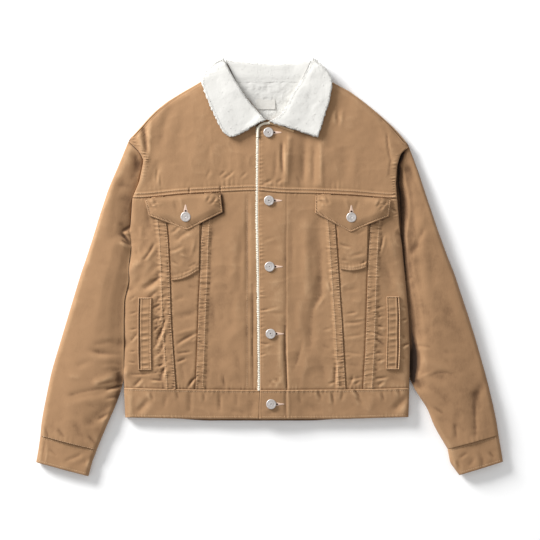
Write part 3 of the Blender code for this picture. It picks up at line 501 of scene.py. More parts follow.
# Large soft folds: a ridge (height above 0) or trough from one point to another
FOLDS = [
    (-268, -222, -362, -238, 9, -1.1), (-282, -236, -372, -252, 11, 0.8), (-270, -196, -318, -214, 8, 2.2),
    (-290, -252, -330, -284, 9, -1.3), (-268, -140, -316, -156, 10, -1.6), (-300, 120, -352, -60, 24, 1.4),
    (-274, 150, -286, 60, 13, -2), (266, -188, 316, -203, 9, -1.2), (268, -172, 330, -186, 9, 0.8),
    (270, -222, 300, -268, 9, -1.5), (404, -206, 382, -236, 9, -0.8), (382, -236, 379, -306, 9, -1.1),
    (392, -240, 396, -300, 10, 0.7), (258, 180, 268, 40, 13, -2.2), (300, 90, 350, -90, 26, 1.4),
    (-226, 26, -262, -8, 9, 1.8), (-214, 2, -256, -40, 8, -1.6), (36, 236, 30, 160, 7, 1.6),
    (64, 250, 60, 150, 9, -1.4), (98, 236, 92, 156, 10, 1.3), (-66, 60, -58, -190, 16, 1.2),
    (62, 70, 74, -180, 16, 1.2), (-236, 204, -200, 300, 12, 1.5), (232, 196, 214, 262, 12, 1.5),
]
# Creases of the lower fronts: from x1 y1 to x2 y2, half width, height (a trough below 0), and for some the
# side that the cloth is pushed up on (1 right, -1 left) and how far the middle is bent aside
FRONT_CREASES = [
    (-48, 69, -58, -46, 7.4, -0.7, 0, 1.9), (-87, -198, -84, -220, 2.5, -0.45, 1),
    (-67, -42, -71, -116, 7.4, -0.5), (-76, -116, -80, -194, 11.1, 0.5), (-95, 58, -97, -61, 11.1, 0.5),
    (-41, 132, -41, -53, 4.1, -1.1, 0, 0.9), (-42, -61, -41, -220, 2.8, -0.5),
    (-31, -31, -31, -224, 2.2, -1.2), (-18, -50, -8, -51, 1.4, -0.6, 1, 0.6),
    (-18, -79, -2, -77, 1.4, -0.6, 1, 0.6), (-18, -111, -10, -109, 1.4, -0.5, 1, 0.6),
    (-18, -140, -4, -141, 1.4, -0.6, 1, 0.6), (-18, -162, -8, -159, 1.4, -0.5, 1, 0.6),
    (-106, -61, -102, -116, 5.6, -0.4), (-61, -153, -54, -216, 7.4, -0.5), (-184, 54, -172, 63, 2, -0.9, 1),
    (-184, 31, -165, 44, 2.5, -1, 1, 1.1), (-182, -2, -165, -9, 2.5, -0.5, 1), (-160, 50, -169, 10, 7.4, 0.5),
    (-174, -92, -135, -81, 6.7, -0.8, 0, 1.5), (-173, -124, -133, -113, 4.1, 0.6),
    (-172, -142, -135, -122, 3.1, -1, 1, -1.5), (-171, -159, -146, -156, 2.4, -0.7, 1),
    (-172, -175, -156, -169, 2.4, -0.8, 1), (-151, -222, -137, -204, 2.5, -1.5, 1, -1.5),
    (-146, -135, -135, -129, 2.2, -0.5, 1), (-163, -183, -158, -209, 4.4, -0.5),
    (-176, -61, -158, -53, 4.8, -0.5), (-150, -35, -134, -40, 4.1, -0.4),
    (-234, 13, -214, 44, 2.8, -1, 1, 1.5), (-234, -40, -200, -9, 5.6, -1.9, 1, 2.8),
    (-239, -27, -217, 10, 7.4, 1, 0, 0.9), (-217, -22, -200, -14, 2.8, 0.8),
    (-228, -61, -209, -44, 3.1, -0.8, 1), (-246, 32, -241, 10, 3.7, -0.5), (-237, 76, -239, 50, 4.4, 0.6),
    (-226, 110, -222, 69, 5.6, -0.6), (-216, -96, -192, -91, 2, -0.9, 1),
    (-209, -136, -194, -96, 2.8, -1.6, 1, 1.5), (-215, -148, -205, -135, 2.2, -0.9, 1),
    (-210, -184, -191, -174, 2.5, -1.2, 1, 0.9), (-202, -207, -192, -183, 3, -1.5, 1, -1.1),
    (-218, -208, -198, -209, 2.2, -1, 1), (-253, -221, -238, -205, 2.5, -1.1, 1, 0.7),
    (-256, -198, -219, -196, 2.2, -0.5, 1, 0.7), (-259, -116, -246, -113, 2, -0.6, 1),
    (-258, -138, -247, -124, 2, -0.9, 1), (-259, -156, -248, -155, 1.9, -0.5, 1),
    (-259, -87, -247, -82, 2, -0.5, 1), (-261, -175, -248, -177, 1.9, -0.5, 1),
    (-213, -116, -202, -107, 2, -0.7, 1), (-215, -166, -200, -157, 2.2, -0.7, 1),
    (-217, -76, -202, -68, 2.2, -0.8, 1), (-259, -61, -250, -53, 2, -0.5, 1),
    (-265, -183, -263, -216, 5.6, 0.6), (-213, -196, -202, -192, 2.2, -0.6, 1),
    (-271, 53, -258, 48, 2.2, -1.2, 1), (-274, 71, -259, 63, 2.2, -0.8, 1),
    (89, 91, 94, -61, 9.2, -1.1, 0, -1.9), (94, -16, 90, -55, 9.2, -1.2), (68, 91, 70, -61, 9.2, 1),
    (40, 97, 38, -61, 7.4, -0.5), (96, -50, 76, -94, 6.7, -0.9, 0, 3.7), (76, -90, 74, -150, 8.3, -1.1),
    (85, -79, 102, -53, 3.3, 0.4), (42, -194, 61, -131, 2.8, -0.3, 1, 1.9), (55, -116, 57, -61, 7.4, 0.7),
    (120, -220, 123, -172, 2.4, -1.1, 1), (29, -109, 32, -224, 1.9, -3, 0, 0.9),
    (30, -55, 29, -122, 2.6, -0.5), (30, 76, 30, -55, 2.8, -0.45, 0, 0.7), (6, -219, 18, -200, 2, -0.8, 1),
    (-4, -220, 3, -207, 2, -0.6, 1), (111, -27, 115, -44, 2.2, -0.6, 1), (100, -116, 114, -112, 2.5, -0.4, 1),
    (98, -144, 114, -151, 3.7, -0.4), (94, -172, 105, -216, 7.4, -0.6), (68, -157, 61, -216, 9.2, 0.6),
    (109, -216, 124, -210, 2.2, -0.7, 1), (-12, -79, 13, -72, 2.4, -0.3, 1),
    (2, -83, 26, -85, 3.7, -0.4, 0, 0.9), (-10, 50, 5, 56, 2.5, -0.4, 1), (-13, -144, 2, -140, 2, -0.4, 1),
    (131, 24, 157, 26, 2.2, -0.63, 1), (142, -86, 161, -83, 2, -0.56, 1), (159, -96, 175, -95, 2.4, 0.42),
    (138, -102, 170, -101, 2.5, -0.7, 1, 0.7), (140, -129, 170, -125, 2.8, -0.49, 1),
    (142, -157, 171, -161, 2.5, -0.42, 1), (140, -165, 151, -165, 2, -0.56, 1),
    (146, -208, 172, -203, 2.4, -0.56, 1), (148, -220, 154, -201, 2.4, -0.7, 1),
    (136, -44, 161, -40, 4.1, -0.35), (153, -61, 170, -66, 4.1, 0.35), (144, -179, 164, -183, 3.7, -0.35),
    (133, 58, 151, 50, 4.4, -0.28), (157, -216, 168, -210, 2.2, -0.56, 1),
    (201, 24, 210, 58, 2.2, -0.8, 1, 0.7), (225, 110, 236, 103, 2, -0.9, 1),
    (193, -107, 215, -111, 2.2, -0.9, 1), (193, -120, 214, -128, 2.2, -0.8, 1, 0.7),
    (196, -132, 213, -144, 2.4, -0.8, 1), (194, -76, 212, -72, 2, -0.6, 1), (194, -92, 213, -90, 2, -0.5, 1),
    (194, -157, 213, -159, 2.2, -0.6, 1), (195, -174, 212, -170, 2.2, -0.6, 1),
    (196, -205, 217, -203, 2.4, -0.9, 1, 0.6), (199, -220, 210, -210, 2.4, -0.8, 1),
    (245, -97, 255, -96, 2.2, -1, 1), (244, -145, 259, -141, 2.4, -1.3, 1),
    (245, -125, 251, -132, 2, -0.7, 1), (244, -166, 253, -170, 2, -0.5, 1), (246, -72, 254, -76, 2, -0.6, 1),
    (214, 10, 227, -42, 7.4, -0.7), (199, 10, 207, -35, 5.6, 0.5), (220, 65, 231, 21, 6.3, 0.7),
    (224, -205, 249, -216, 5.6, -0.7), (210, 87, 201, 65, 3.7, -0.5),
]

seams = {name: smooth_line(BODY["y"], BODY[name], 9) for name in
         ("outer_left", "inner_left", "inner_right", "outer_right")}
front_edge = smooth_line(*FRONT_EDGE.values(), 12)
neck_left = smooth_line(*NECK_LEFT.values(), 4)
neck_right = smooth_line(*NECK_RIGHT.values(), 2)
front_hem = smooth_line(*FRONT_HEM.values(), 12)


def chain(side, low, high):
    """A stretch of an edge as a chain of points."""
    steps = np.linspace(low, high, max(2, int((high - low) / 8)))
    return np.column_stack((side(steps), steps))


# Edges of the front layer: how far it drops there, over what width, and if the padding thins towards it
ROLLS = [(chain(side, low, high), *shape) for side, low, high, *shape in (
    (left_side, -290, ARMPIT, 5.0, 15.0, True), (right_side, -290, ARMPIT, 5.0, 15.0, True),
    (left_side, ARMPIT, YOKE_LEVEL, 3.2, 9.0, False), (right_side, ARMPIT, YOKE_LEVEL, 2.4, 2.4, False),
    (left_side, YOKE_LEVEL, ARMHOLE_TOP_LEFT, 1.6, 6.0, False),
    (right_side, YOKE_LEVEL, ARMHOLE_TOP_RIGHT, 1.6, 2.4, False),
    (left_side, ARMHOLE_TOP_LEFT, SHOULDER_TOP, 4.5, 13.0, True),
    (right_side, ARMHOLE_TOP_RIGHT, SHOULDER_TOP, 4.5, 13.0, True),
    (neck_left, NECK_START, SHOULDER_TOP, 4.0, 10.0, True),
    (neck_right, NECK_START, SHOULDER_TOP, 4.0, 10.0, True))]
hem_steps = np.linspace(-290, 280, 12)
ROLLS.append((np.column_stack((hem_steps, front_hem(hem_steps))), 3.5, 3.4, True))
CREASE_DEPTH = 1.6        # every crease is this much deeper than its table says


def creased(x, y, rows):
    """Sum of creases: each one tapers to its ends, and the cloth pushed aside stands up beside it."""
    total = np.zeros(np.shape(x))
    for x1, y1, x2, y2, width, height, *more in rows:
        side, bend = (*more, 0, 0)[:2]
        reach = 4 * width + abs(bend)
        near = (x > min(x1, x2) - reach) & (x < max(x1, x2) + reach)
        near &= (y > min(y1, y2) - reach) & (y < max(y1, y2) + reach)
        if not near.any():
            continue
        run_x, run_y = x2 - x1, y2 - y1
        length = np.hypot(run_x, run_y)
        along = ((x[near] - x1) * run_x + (y[near] - y1) * run_y) / length
        aside = ((x[near] - x1) * run_y - (y[near] - y1) * run_x) / length
        part = np.clip(along / length, 0.0, 1.0)
        aside = aside - 4 * bend * part * (1 - part)
        past = np.maximum(np.maximum(-along, along - length), 0.0)
        fade = (0.25 + 0.75 * np.sin(np.pi * part) ** 0.6) * bell(past, width)
        shape = bell(aside, width)
        if side:
            shape = shape - 0.55 * bell(aside - side * 2.1 * width, 1.5 * width)
        total[near] += CREASE_DEPTH * height * fade * shape
    return total


def large_folds(x, y):
    """Sum of the large soft folds."""
    total = np.zeros(np.shape(x))
    for x1, y1, x2, y2, width, height in FOLDS:
        total += height * bell(away_from(((x1, y1), (x2, y2)), x, y), width)
    return total


def crumple(x, y, seed):
    """Unevenness of worn cloth: soft swells with low winding ridges on them."""
    large, middle, small, sharp, fine, wide = (
        mottle(x, y, size, seed + add) for add, size in enumerate((52, 23, 9, 34, 17, 70)))
    ridges = (1 - np.abs(sharp)) ** 4 + 0.5 * (1 - np.abs(fine)) ** 3
    return 0.8 * large + 0.42 * middle + 0.14 * small + 0.55 * ridges * (0.5 + 0.5 * wide)


def front_form(x, y):
    """Top of the front layer before its seams: crowned in the middle and rolled down at its edges."""
    drop, padding = np.zeros(np.shape(x)), np.full(np.shape(x), CROWN_REACH)
    for line, fall, width, thins in ROLLS:
        away = away_from(line, x, y)
        drop = np.maximum(drop, fall * rolled(away, width))
        if thins:
            padding = -12.0 * np.log(np.exp(-padding / 12.0) + np.exp(-away / 12.0))
    form = FRONT_BOTTOM + FRONT_WALL + CROWN * ease(padding, CROWN_REACH) + large_folds(x, y) - drop
    return np.maximum(form + crumple(x, y, 11), FRONT_BOTTOM + 1.6)


def puckers(along, seed, pitch=5.6, slant=0.0):
    """Ripples across a stitched seam, uneven in spacing, slant and height, along the seam."""
    drift = 1.3 * mottle(along, 0, 4.2 * pitch, seed) + 0.7 * mottle(along, 0, 1.7 * pitch, seed + 1)
    strength = 0.55 + 0.75 * mottle(along, 0, 1.6 * pitch, seed + 2)
    strength += 0.35 * mottle(along, 0, 7 * pitch, seed + 3)
    wave = np.cos(2 * np.pi * (along + slant) / pitch + 2.6 * drift)
    return (wave + 0.35 * wave ** 2) * np.clip(strength, 0.05, 1.2)


def row_groove(away, row, depth=0.55):
    """Groove that a row of stitches pulls into the cloth."""
    return -depth * bell(away - row, 0.85)


def row_ticks(away, along, row, seed, height, reach=3.0):
    """Short ripples that cross one row of stitches, longer in some places than in others."""
    slant = 0.35 * (away - row) * mottle(along, 0, 23.0, seed + 5)
    reach = reach * (1.0 + 0.55 * mottle(along, 0, 9.0, seed + 6))
    return height * puckers(along, seed, 5.2, slant) * bell(away - row, reach)


def lapped(away, along, width, seed):
    """A lapped seam: a raised band with two rows of stitches, and a tucked edge on its other side."""
    rows = row_groove(away, FIRST_ROW, 0.3) + row_groove(away, width - SECOND_ROW, -0.2)
    ticks = row_ticks(away, along, FIRST_ROW + 1.0, seed, SEAM_PUCKER)
    ticks += row_ticks(away, along, width - SECOND_ROW, seed + 100, 0.7 * SEAM_PUCKER, 4.2)
    inside = ease(away, 1.5) * faded(away - width - 1.0, 7.0)
    slant = 0.4 * away * mottle(along, 0, 31.0, seed + 9)
    ripple = 0.5 * SEAM_PUCKER * puckers(along, seed + 200, 9.5, slant) * inside
    lumps = 0.5 * SEAM_PUCKER * mottle(away, along, 6.0, seed + 11) * inside
    band = SEAM_RISE * faded(away - width + 1.5, 6.0) - 1.3 * rolled(away, 1.1)
    outside = -1.5 * bell(away, 2.0)
    outside += 0.25 * SEAM_PUCKER * puckers(along, seed + 7, 9.0) * bell(away, 5.0)
    return np.where(away > 0, band + rows + ticks + ripple + lumps, outside)


def yoke_band(above, x):
    """The folded lower edge of the yokes: two narrow raised lines with the seam's trough between them."""
    lines = 0.6 * bell(above - 1.9, 1.3) + 0.5 * bell(above - 8.6, 1.5)
    trough = -0.2 * bell(above - 5.2, 1.8) - 0.3 * bell(above - 11.6, 1.6)
    pleats = -1.3 * (bell(x + 148.5, 1.6) + bell(x + 91.0, 1.7)) * (above < 11)
    uneven = 0.16 * puckers(x, 81, 6.4) * (0.4 + 0.9 * mottle(x, 0, 41.0, 83))
    return lines + trough + pleats + uneven * faded(above - 9, 4) + 0.3 - 0.4 * rolled(above, 1.0)


def lap(x, y):
    """The top front stands on the under front along its button stand."""
    away = x - front_edge(y)
    return np.where(away > -1.0, LAP_RISE * faded(away - LAP_WIDTH, LAP_FADE), 0.0)


def placket(x, y):
    """Two rows of stitches down the button stand, and the rolled front edge."""
    away = x - front_edge(y)
    edge = -1.6 * rolled(away, 2.2) * (away > -1.0)
    ticks = 0.85 * puckers(y, 61, 7.4) * bell(away - 5.0, 3.6, 4) * (away > 0) * ease(y + 240, 260)
    return edge + ticks + row_groove(away, 3.0, 0.3) * (away > 0) + row_groove(x, 31.0, 0.3)


def armhole_seam(x, y):
    """Lumps along the armhole, where its seam is stitched down beside the edge of the body."""
    low = ease(y - 88, 12.0)
    right = row_ticks(right_side(y) - x, y, 5.5, 131, 1.1, 3.6) * low * ease(216 - y, 10.0)
    from_left = x - left_side(y) - 0.7 * np.maximum(y - 200, 0) ** 0.5
    left = row_ticks(from_left, y, 6.0, 137, 1.2, 4.5) * ease(y - 160, 15.0) * ease(240 - y, 8.0)
    middle, half = 0.5 * (right_side(y) + left_side(y)), 0.5 * (right_side(y) - left_side(y))
    grooves = row_groove(np.abs(x - middle), half - 9.5, 0.5)
    return np.where(x > 0, right, left) + grooves * low


def gathers(x, y):
    """Small sharp crumples where the cloth is drawn in between a pocket welt and the lapped seam."""
    across, slanted = 0.8 * x - 0.6 * y, 0.6 * x + 0.8 * y
    ridges = (1 - np.abs(mottle(across, slanted * 0.45, 6.0, 141))) ** 3
    ridges += 0.6 * (1 - np.abs(mottle(x, y, 4.5, 143))) ** 3
    where = bell(x + 203, 11.0, 4) * bell(y + 128, 78.0, 6)
    where += 0.5 * bell(x - 202, 9.0, 4) * bell(y + 128, 70.0, 6)
    return 1.5 * (ridges - 0.6) * where


def under_flap(x, y):
    """Shade close under the right and lower edges of the pocket flaps, where they press on the front."""
    pressed = np.zeros(np.shape(x))
    for line, much in (([(-90, 134), (-86, 102), (-153, 68)], 1.0), ([(221, 94), (149, 64)], 0.5)):
        pressed += much * bell(away_from(np.array(line, float), x, y), 3.2)
    return 3.0 * pressed


# Each lapped seam: the way that its band lies, its width, its seed and where on the front it counts
SEAM_BANDS = [
    ("outer_left", -1, OUTER_BAND, 21, -np.inf, -155), ("inner_left", 1, INNER_BAND, 31, -160, 0),
    ("inner_right", -1, INNER_BAND, 41, 0, 155), ("outer_right", 1, OUTER_BAND, 51, 150, np.inf),
]


def lower_top(x, y):
    """Top of the fronts between the waist seam and the yoke seam."""
    bands = np.zeros(np.shape(x))
    for name, way, width, seed, first, last in SEAM_BANDS:
        away = way * (x - seams[name](y))
        bands += lapped(away, y, width, seed) * (x > first) * (x < last)
    below_yoke, above_waist = yoke_seam(x) - y, y - waist_seam(x)
    tucked = -0.6 * bell(below_yoke, 2.0) - 0.8 * bell(above_waist, 2.2)
    tucked += 0.5 * puckers(x, 71, 7.0) * bell(above_waist, 9.0)
    tucked += 0.35 * puckers(x, 75, 6.0) * bell(below_yoke, 7.0)
    form = front_form(x, y) + bands + tucked + armhole_seam(x, y) + gathers(x, y)
    return form + lap(x, y) + placket(x, y) + creased(x, y, FRONT_CREASES)


def shown_edge(y):
    """Where the under front stops showing, beside the pile strip of the top front."""
    return front_edge(y) - PILE_WIDTH - 0.6


def shown_band_edge(y):
    """Where the under waistband stops showing. No pile comes out between the two bands."""
    return front_edge(y) - 1.0


def fixed(value):
    """A line that stays at one place across or up the garment."""
    return lambda at: np.full(np.shape(at), float(value))


def plain(x, y, top):
    """A panel that neither has the tongue nor lies on it."""
    return x, y, top, np.full(x.shape, FRONT_BOTTOM), []


def with_tongue(x, y, top):
    """Add the tongue of the under front, pressed flat below the top front."""
    end = np.where(y[:, -1:] < TONGUE_HIGH, TONGUE_END, x[:, -1:] + 0.6)
    x, y = np.hstack((x, x[:, -1:] + 0.2, end)), np.hstack((y, y[:, -1:], y[:, -1:]))
    return x, y, np.hstack((top, np.full_like(top[:, :2], TONGUE_TOP))), np.full(x.shape, FRONT_BOTTOM), []


def on_tongue(x, y, top):
    """The top front steps down past the tongue: its underside, and the two columns at the step."""
    place = int(np.searchsorted(x[0], TONGUE_END + 5))
    under = np.where((x < TONGUE_END + 5) & (y < TONGUE_HIGH + 8), TONGUE_TOP + 0.3, FRONT_BOTTOM)
    return x, y, top, under, [place - 1, place]


BAND_COLUMNS = (0.0, 0.3, 0.7, 1.2, 1.7, 2.2, 2.8, 3.6, 5.0, 7.5, 10.0, 12.0, 13.0, 14.0, 15.0, 16.0, 17.0,
                18.5, 20.5)
LAP_COLUMNS = (0.0, 0.3, 0.8, 1.5, 2.4, 3.2, 4.2, 6.0, 9.0, 13.0, 18.0, 24.0, 30.0, 36.0, 42.0, 46.0, 49.0,
               50.0, 51.0, 52.0, 53.5, 56.0, 60.0, 63.0)
SIDE_COLUMNS = (0.0, 0.4, 1.0, 2.0, 3.5, 5.5, 8.0, 11.0, 15.0)
lower_rows = spread(350, SEAM_STEP)
lower_rows[1] += SEAM_GAP * (1 - 2 * lower_rows[0])
for name, first, second, wide, near_first, near_second, fit in (
        ("side_left", left_side, seams["outer_left"], 80, SIDE_COLUMNS, BAND_COLUMNS, plain),
        ("middle_left", seams["outer_left"], seams["inner_left"], 50, NEAR, NEAR, plain),
        ("centre_left", seams["inner_left"], shown_edge, 105, BAND_COLUMNS, NEAR, with_tongue),
        ("centre_right", front_edge, seams["inner_right"], 150, LAP_COLUMNS, BAND_COLUMNS, on_tongue),
        ("middle_right", seams["inner_right"], seams["outer_right"], 50, NEAR, NEAR, plain),
        ("side_right", seams["outer_right"], right_side, 72, BAND_COLUMNS, SIDE_COLUMNS, plain)):
    across = spread(wide, FRONT_STEP, near_first, near_second)
    if first not in (left_side, front_edge):
        across[1] += SEAM_GAP * (1 - across[0])
    if second not in (right_side, shown_edge):
        across[1] -= SEAM_GAP * across[0]
    x, y = plan_between(first, second, waist_seam, yoke_seam, across, lower_rows)
    x, y, top, under, keep = fit(x, y, lower_top(x, y))
    # Painted shade close under the pocket flaps, and a little over the left side of the fronts, which is
    # nearest the light.
    sew(f"front_{name}", x, y, top, under, keep, under_flap(x, y) + 0.3 * ease(-40 - x, 80.0))

# ---------------------------------------------------------------------------------------- front yokes
# Pointed over the shoulder from the yoke seam to the neck, laid over the panels below them with a
# narrow double-stitched band. Mostly smooth, with a few pressed folds.

YOKE_CREASES = [
    (-182, 294, -202, 217, 7.4, -0.5, 1, 3.7), (-207, 182, -209, 158, 2.2, -0.5, 1, 0.6),
    (-202, 169, -201, 150, 2, -0.4, 1), (-93, 169, -82, 178, 2.2, -0.45, 1),
    (-84, 165, -67, 178, 2.2, -0.5, 1, 0.9), (-54, 165, -43, 176, 2.4, -0.4, 1),
    (-117, 165, -110, 180, 3, -0.35, 1), (-128, 272, -135, 189, 13, 0.6, 0, 3.7),
    (-82, 232, -87, 158, 14.8, -0.6), (-158, 287, -169, 198, 11.1, -0.5, 0, 3.7),
    (-58, 224, -54, 161, 7.4, 0.4), (23, 230, 24, 174, 3, -1.2, -1, 1.1), (35, 224, 33, 165, 5.6, 0.5),
    (13, 217, 9, 161, 4.4, -0.5), (64, 217, 62, 156, 5.6, -0.6), (126, 291, 127, 263, 3, -0.6, 1, 1.1),
    (136, 294, 131, 261, 3.7, 0.4), (217, 247, 224, 196, 2, -0.8, 0, 1.5), (224, 198, 221, 169, 2, -0.7),
    (-204, 198, -219, 154, 7.4, -0.9), (-234, 258, -227, 211, 4.4, -2.1, 1, -0.6),
    (-220, 287, -226, 213, 6.3, 1), (-225, 217, -238, 154, 5.6, 0.9), (-249, 158, -255, 130, 3.3, -1.6, 1),
    (94, 224, 95, 150, 4.8, 0.8), (81, 220, 81, 150, 4.1, -0.7), (112, 220, 105, 154, 11.1, 0.5, 0, 1.9),
    (140, 224, 136, 154, 9.2, -0.5), (159, 217, 155, 154, 7.4, 0.4), (-13, 154, 5, 162, 2.6, -0.7, 1),
    (13, 156, 22, 163, 2.6, -0.5, 1), (51, 169, 57, 154, 3, -0.4), (153, 332, 179, 309, 5.6, -0.4),
    (98, 291, 112, 324, 4.8, 0.4), (-154, 320, -128, 332, 5.6, -0.4), (-106, 232, -115, 198, 6.3, -0.5),
    (205, 276, 220, 246, 5.6, -0.7), (-206, 302, -187, 317, 5.6, 0.5),
]
FRONT_CORNER = 262.0
SHOULDER_SEAM = 5.58      # the front stops this far inside the shoulder edge, where the back comes round


def yoke_top(x, y):
    """Top of the front yokes, with the lapped yoke seam at their lower edge."""
    above = y - yoke_seam(x)
    band = yoke_band(np.maximum(above, 0.0), x)
    pucker = 0.4 * puckers(x, 85, 9.5) * bell(above - 15.0, 8.0) * mottle(x, 0, 47, 87) * (above > 0)
    form = front_form(x, y) + band + pucker + armhole_seam(x, y)
    return form + lap(x, y) + placket(x, y) + creased(x, y, YOKE_CREASES)


def inside_shoulder(side, top, sign):
    """Shoulder seam of a front: inside the edge of the body, but on it along the armhole."""
    return lambda y: side(y) + sign * SHOULDER_SEAM * ease(y - top - 1.0, 8.0)


def inner_left(y):
    """Inner edge of the left yoke that shows: beside the pile strip, then along the neck seam."""
    return np.where(y < NECK_START, np.minimum(shown_edge(y), neck_left(y)), neck_left(y))


def inner_right(y):
    """Inner edge of the right yoke: the front edge, a rounded top corner, then the neck seam."""
    return np.where(y < FRONT_CORNER, front_edge(y), neck_right(y))


YOKE_EDGE = (0.0, 0.3, 0.7, 1.2, 1.7, 2.2, 2.8, 3.6, 4.6, 5.6, 6.6, 7.4, 8.2, 9.0, 10.0, 11.2)
yoke_rows = spread(234, 1.9, YOKE_EDGE)
for side, first, second, wide, near_first, near_second, fit in (
        ("left", inside_shoulder(left_side, ARMHOLE_TOP_LEFT, 1), inner_left,
         235, SIDE_COLUMNS, NEAR, with_tongue),
        ("right", inner_right, inside_shoulder(right_side, ARMHOLE_TOP_RIGHT, -1),
         250, NEAR, SIDE_COLUMNS, on_tongue)):
    across = spread(wide, 1.75, near_first, near_second)
    x, y = plan_between(first, second, yoke_seam, fixed(SHOULDER_TOP - 0.5), across, yoke_rows)
    shoulder = first if side == "left" else second
    top = yoke_top(x, y) - 0.6 * bell(x - shoulder(y), 2.6) * ease(y - 300, 20.0)
    x, y, top, under, keep = fit(x, y, top)
    sew(f"front_yoke_{side}", x, y, np.maximum(top, under + 1.0), under, keep)

# ----------------------------------------------------------------------------------------- waistbands
# A doubled band sewn to the lower edge of each front, stitched along its top and along the hem, and
# gathered a little into the seam, so that its upper edge stands up in short scallops.

WAIST_CREASES = [
    (-245, -268, -223, -243, 5.6, -1, 1, 0.9), (-147, -229, -147, -268, 4.4, -0.6, 1, 0.6),
    (-93, -235, -92, -266, 3.7, -0.8), (-32, -246, -34, -277, 7.4, -0.7), (-191, -236, -196, -260, 4.4, -0.5),
    (-122, -233, -120, -249, 3, -0.6, 1), (-61, -233, -60, -257, 4.4, -0.6),
    (-220, -231, -215, -246, 2.8, -0.7, 1), (-172, -231, -169, -244, 2.8, -0.6, 1),
    (114, -226, 119, -253, 2.8, -0.9, 1), (156, -225, 167, -240, 2.6, -1.3, 1),
    (162, -240, 172, -253, 3.3, -0.6, 1), (229, -264, 252, -239, 6.7, -1.3, 1, 1.1),
    (89, -229, 96, -244, 2.8, -0.8, 1), (190, -238, 183, -268, 9.2, 0.6), (55, -233, 57, -253, 3.7, -0.5),
    (29, -225, 30, -277, 2.4, -0.7, -1), (136, -231, 133, -246, 3, -0.6, 1),
    (207, -231, 212, -246, 2.8, -0.7, 1), (68, -253, 98, -268, 7.4, -0.4), (-6, -272, 20, -264, 4.1, -0.4),
    (-258, -235, -259, -272, 5.6, 0.6), (-72, -264, -43, -270, 4.8, -0.4),
    (238, -225, 242, -238, 2.6, -0.7, 1),
]
WAISTBAND_EXTRA = 0.8
WAIST_ROW = 4.2           # stitch rows of the waistband: below its seam, and above the hem
HEM_ROW = 5.0


def waist_top(x, y):
    """Top of the front waistbands."""
    below, above_hem = waist_seam(x) - y, y - front_hem(x)
    seam = -1.0 * rolled(below, 1.1) + 0.7 * bell(below - 1.9, 1.1)
    seam += row_groove(below, WAIST_ROW, 0.12)
    reach = 7.5 + 3.5 * mottle(x, 0, 11.0, 92)
    scallops = 0.42 * puckers(x, 91, 8.6) * bell(below, reach) * ease(below, 1.2)
    hem = row_groove(above_hem, HEM_ROW, 0.35) + 0.4 * puckers(x, 95, 6.0) * bell(above_hem, 7.0)
    band = seam + scallops + hem + WAISTBAND_EXTRA
    return front_form(x, y) + band + lap(x, y) + placket(x, y) + creased(x, y, WAIST_CREASES)


WAIST_EDGE = (0.0, 0.3, 0.8, 1.5, 2.4, 3.4, 4.6, 6.0)
waist_rows = spread(54, 2.4, WAIST_EDGE, (0.0, 0.3, 0.7, 1.2, 1.9, 2.6, 3.4, 4.6))
waist_rows[1] -= SEAM_GAP * waist_rows[0]
for side, first, second, near_first, near_second, fit in (
        ("left", left_side, shown_band_edge, SIDE_COLUMNS, NEAR, with_tongue),
        ("right", front_edge, right_side, NEAR, SIDE_COLUMNS, on_tongue)):
    across = spread(255, 1.9, near_first, near_second)
    x, y = plan_between(first, second, front_hem, waist_seam, across, waist_rows)
    x, y, top, under, keep = fit(x, y, waist_top(x, y))
    sew(f"waistband_{side}", x, y, top, under, keep)

# ------------------------------------------------------------------------------------- chest pockets
# The part of each chest pocket that shows below its flap: one layer of the same cloth, sewn on the
# middle panel, with a slanting lower edge that stands a little open.

POCKET_WALL = 1.5
POCKETS = {
    "left": [
        (-186, 106, -181, -25), (-172, 107, -163, -23), (-152, 108, -145, -15), (-129, 109, -131, -6),
    ],
    "right": [
        (125, 108, 131, -4), (146, 107, 149, -7), (166, 106, 168, -5), (182, 105, 179, 0),
    ],
}
POCKET_CREASES = [
    (-182, 63, -166, 78, 2.4, -0.7, 1, 1), (-172, 50, -150, 66, 3, -0.6, 1, -1.5),
    (-184, 30, -160, 40, 2.6, -0.6, 1, 1), (-146, 20, -138, 52, 3.4, 0.5, 0, 1),
    (-180, 12, -166, 4, 2.2, -0.5, 1), (-160, 84, -141, 72, 3, -0.4), (-150, 0, -136, 8, 2.2, -0.5, 1),
    (-178, 88, -170, 70, 3, 0.4), (-165, 24, -150, 18, 2.6, 0.5), (129, 44, 152, 38, 2.2, -0.6, 1, 1),
    (150, 20, 176, 26, 2.6, -0.5, 1, -1), (133, 14, 146, 12, 2, -0.5, 1), (160, 60, 178, 70, 3, -0.5),
    (136, 72, 150, 80, 2.8, 0.4), (170, 6, 180, 14, 2, -0.6, 1),
]


def distances(points):
    """Distance of each point of a chain along it."""
    return np.append(0.0, np.cumsum(np.hypot(*np.diff(points, axis=0).T)))


def places_along(length, step, first=NEAR, last=NEAR):
    """Rows of a piece as distances along it."""
    share, add = spread(length, step, first, last)
    return share * length + add


def patch(sections, step, near=NEAR, soften=5):
    """Plan grid of a piece from sections that run from a first to a second point."""
    rows = np.array(sections, float)
    along = distances((rows[:, :2] + rows[:, 2:]) / 2)
    places = places_along(along[-1], step, near, near)
    x1, y1, x2, y2 = (smooth_line(along, column, soften)(places)[:, None] for column in rows.T)
    width = np.hypot(x2 - x1, y2 - y1)
    share, add = spread(float(width.mean()), step, near, near)
    part = share[None] + add[None] / width
    return x1 + (x2 - x1) * part, y1 + (y2 - y1) * part


def edges(x, y, *parts):
    """Edges (or other lines) of a plan grid, as one chain of points."""
    return np.vstack([np.column_stack((x[part], y[part])) for part in parts])


def border(x, y):
    """Outline of a plan grid, as a chain of points."""
    return edges(x, y, np.s_[0], np.s_[:, -1], np.s_[-1, ::-1], np.s_[::-1, 0])[::3]


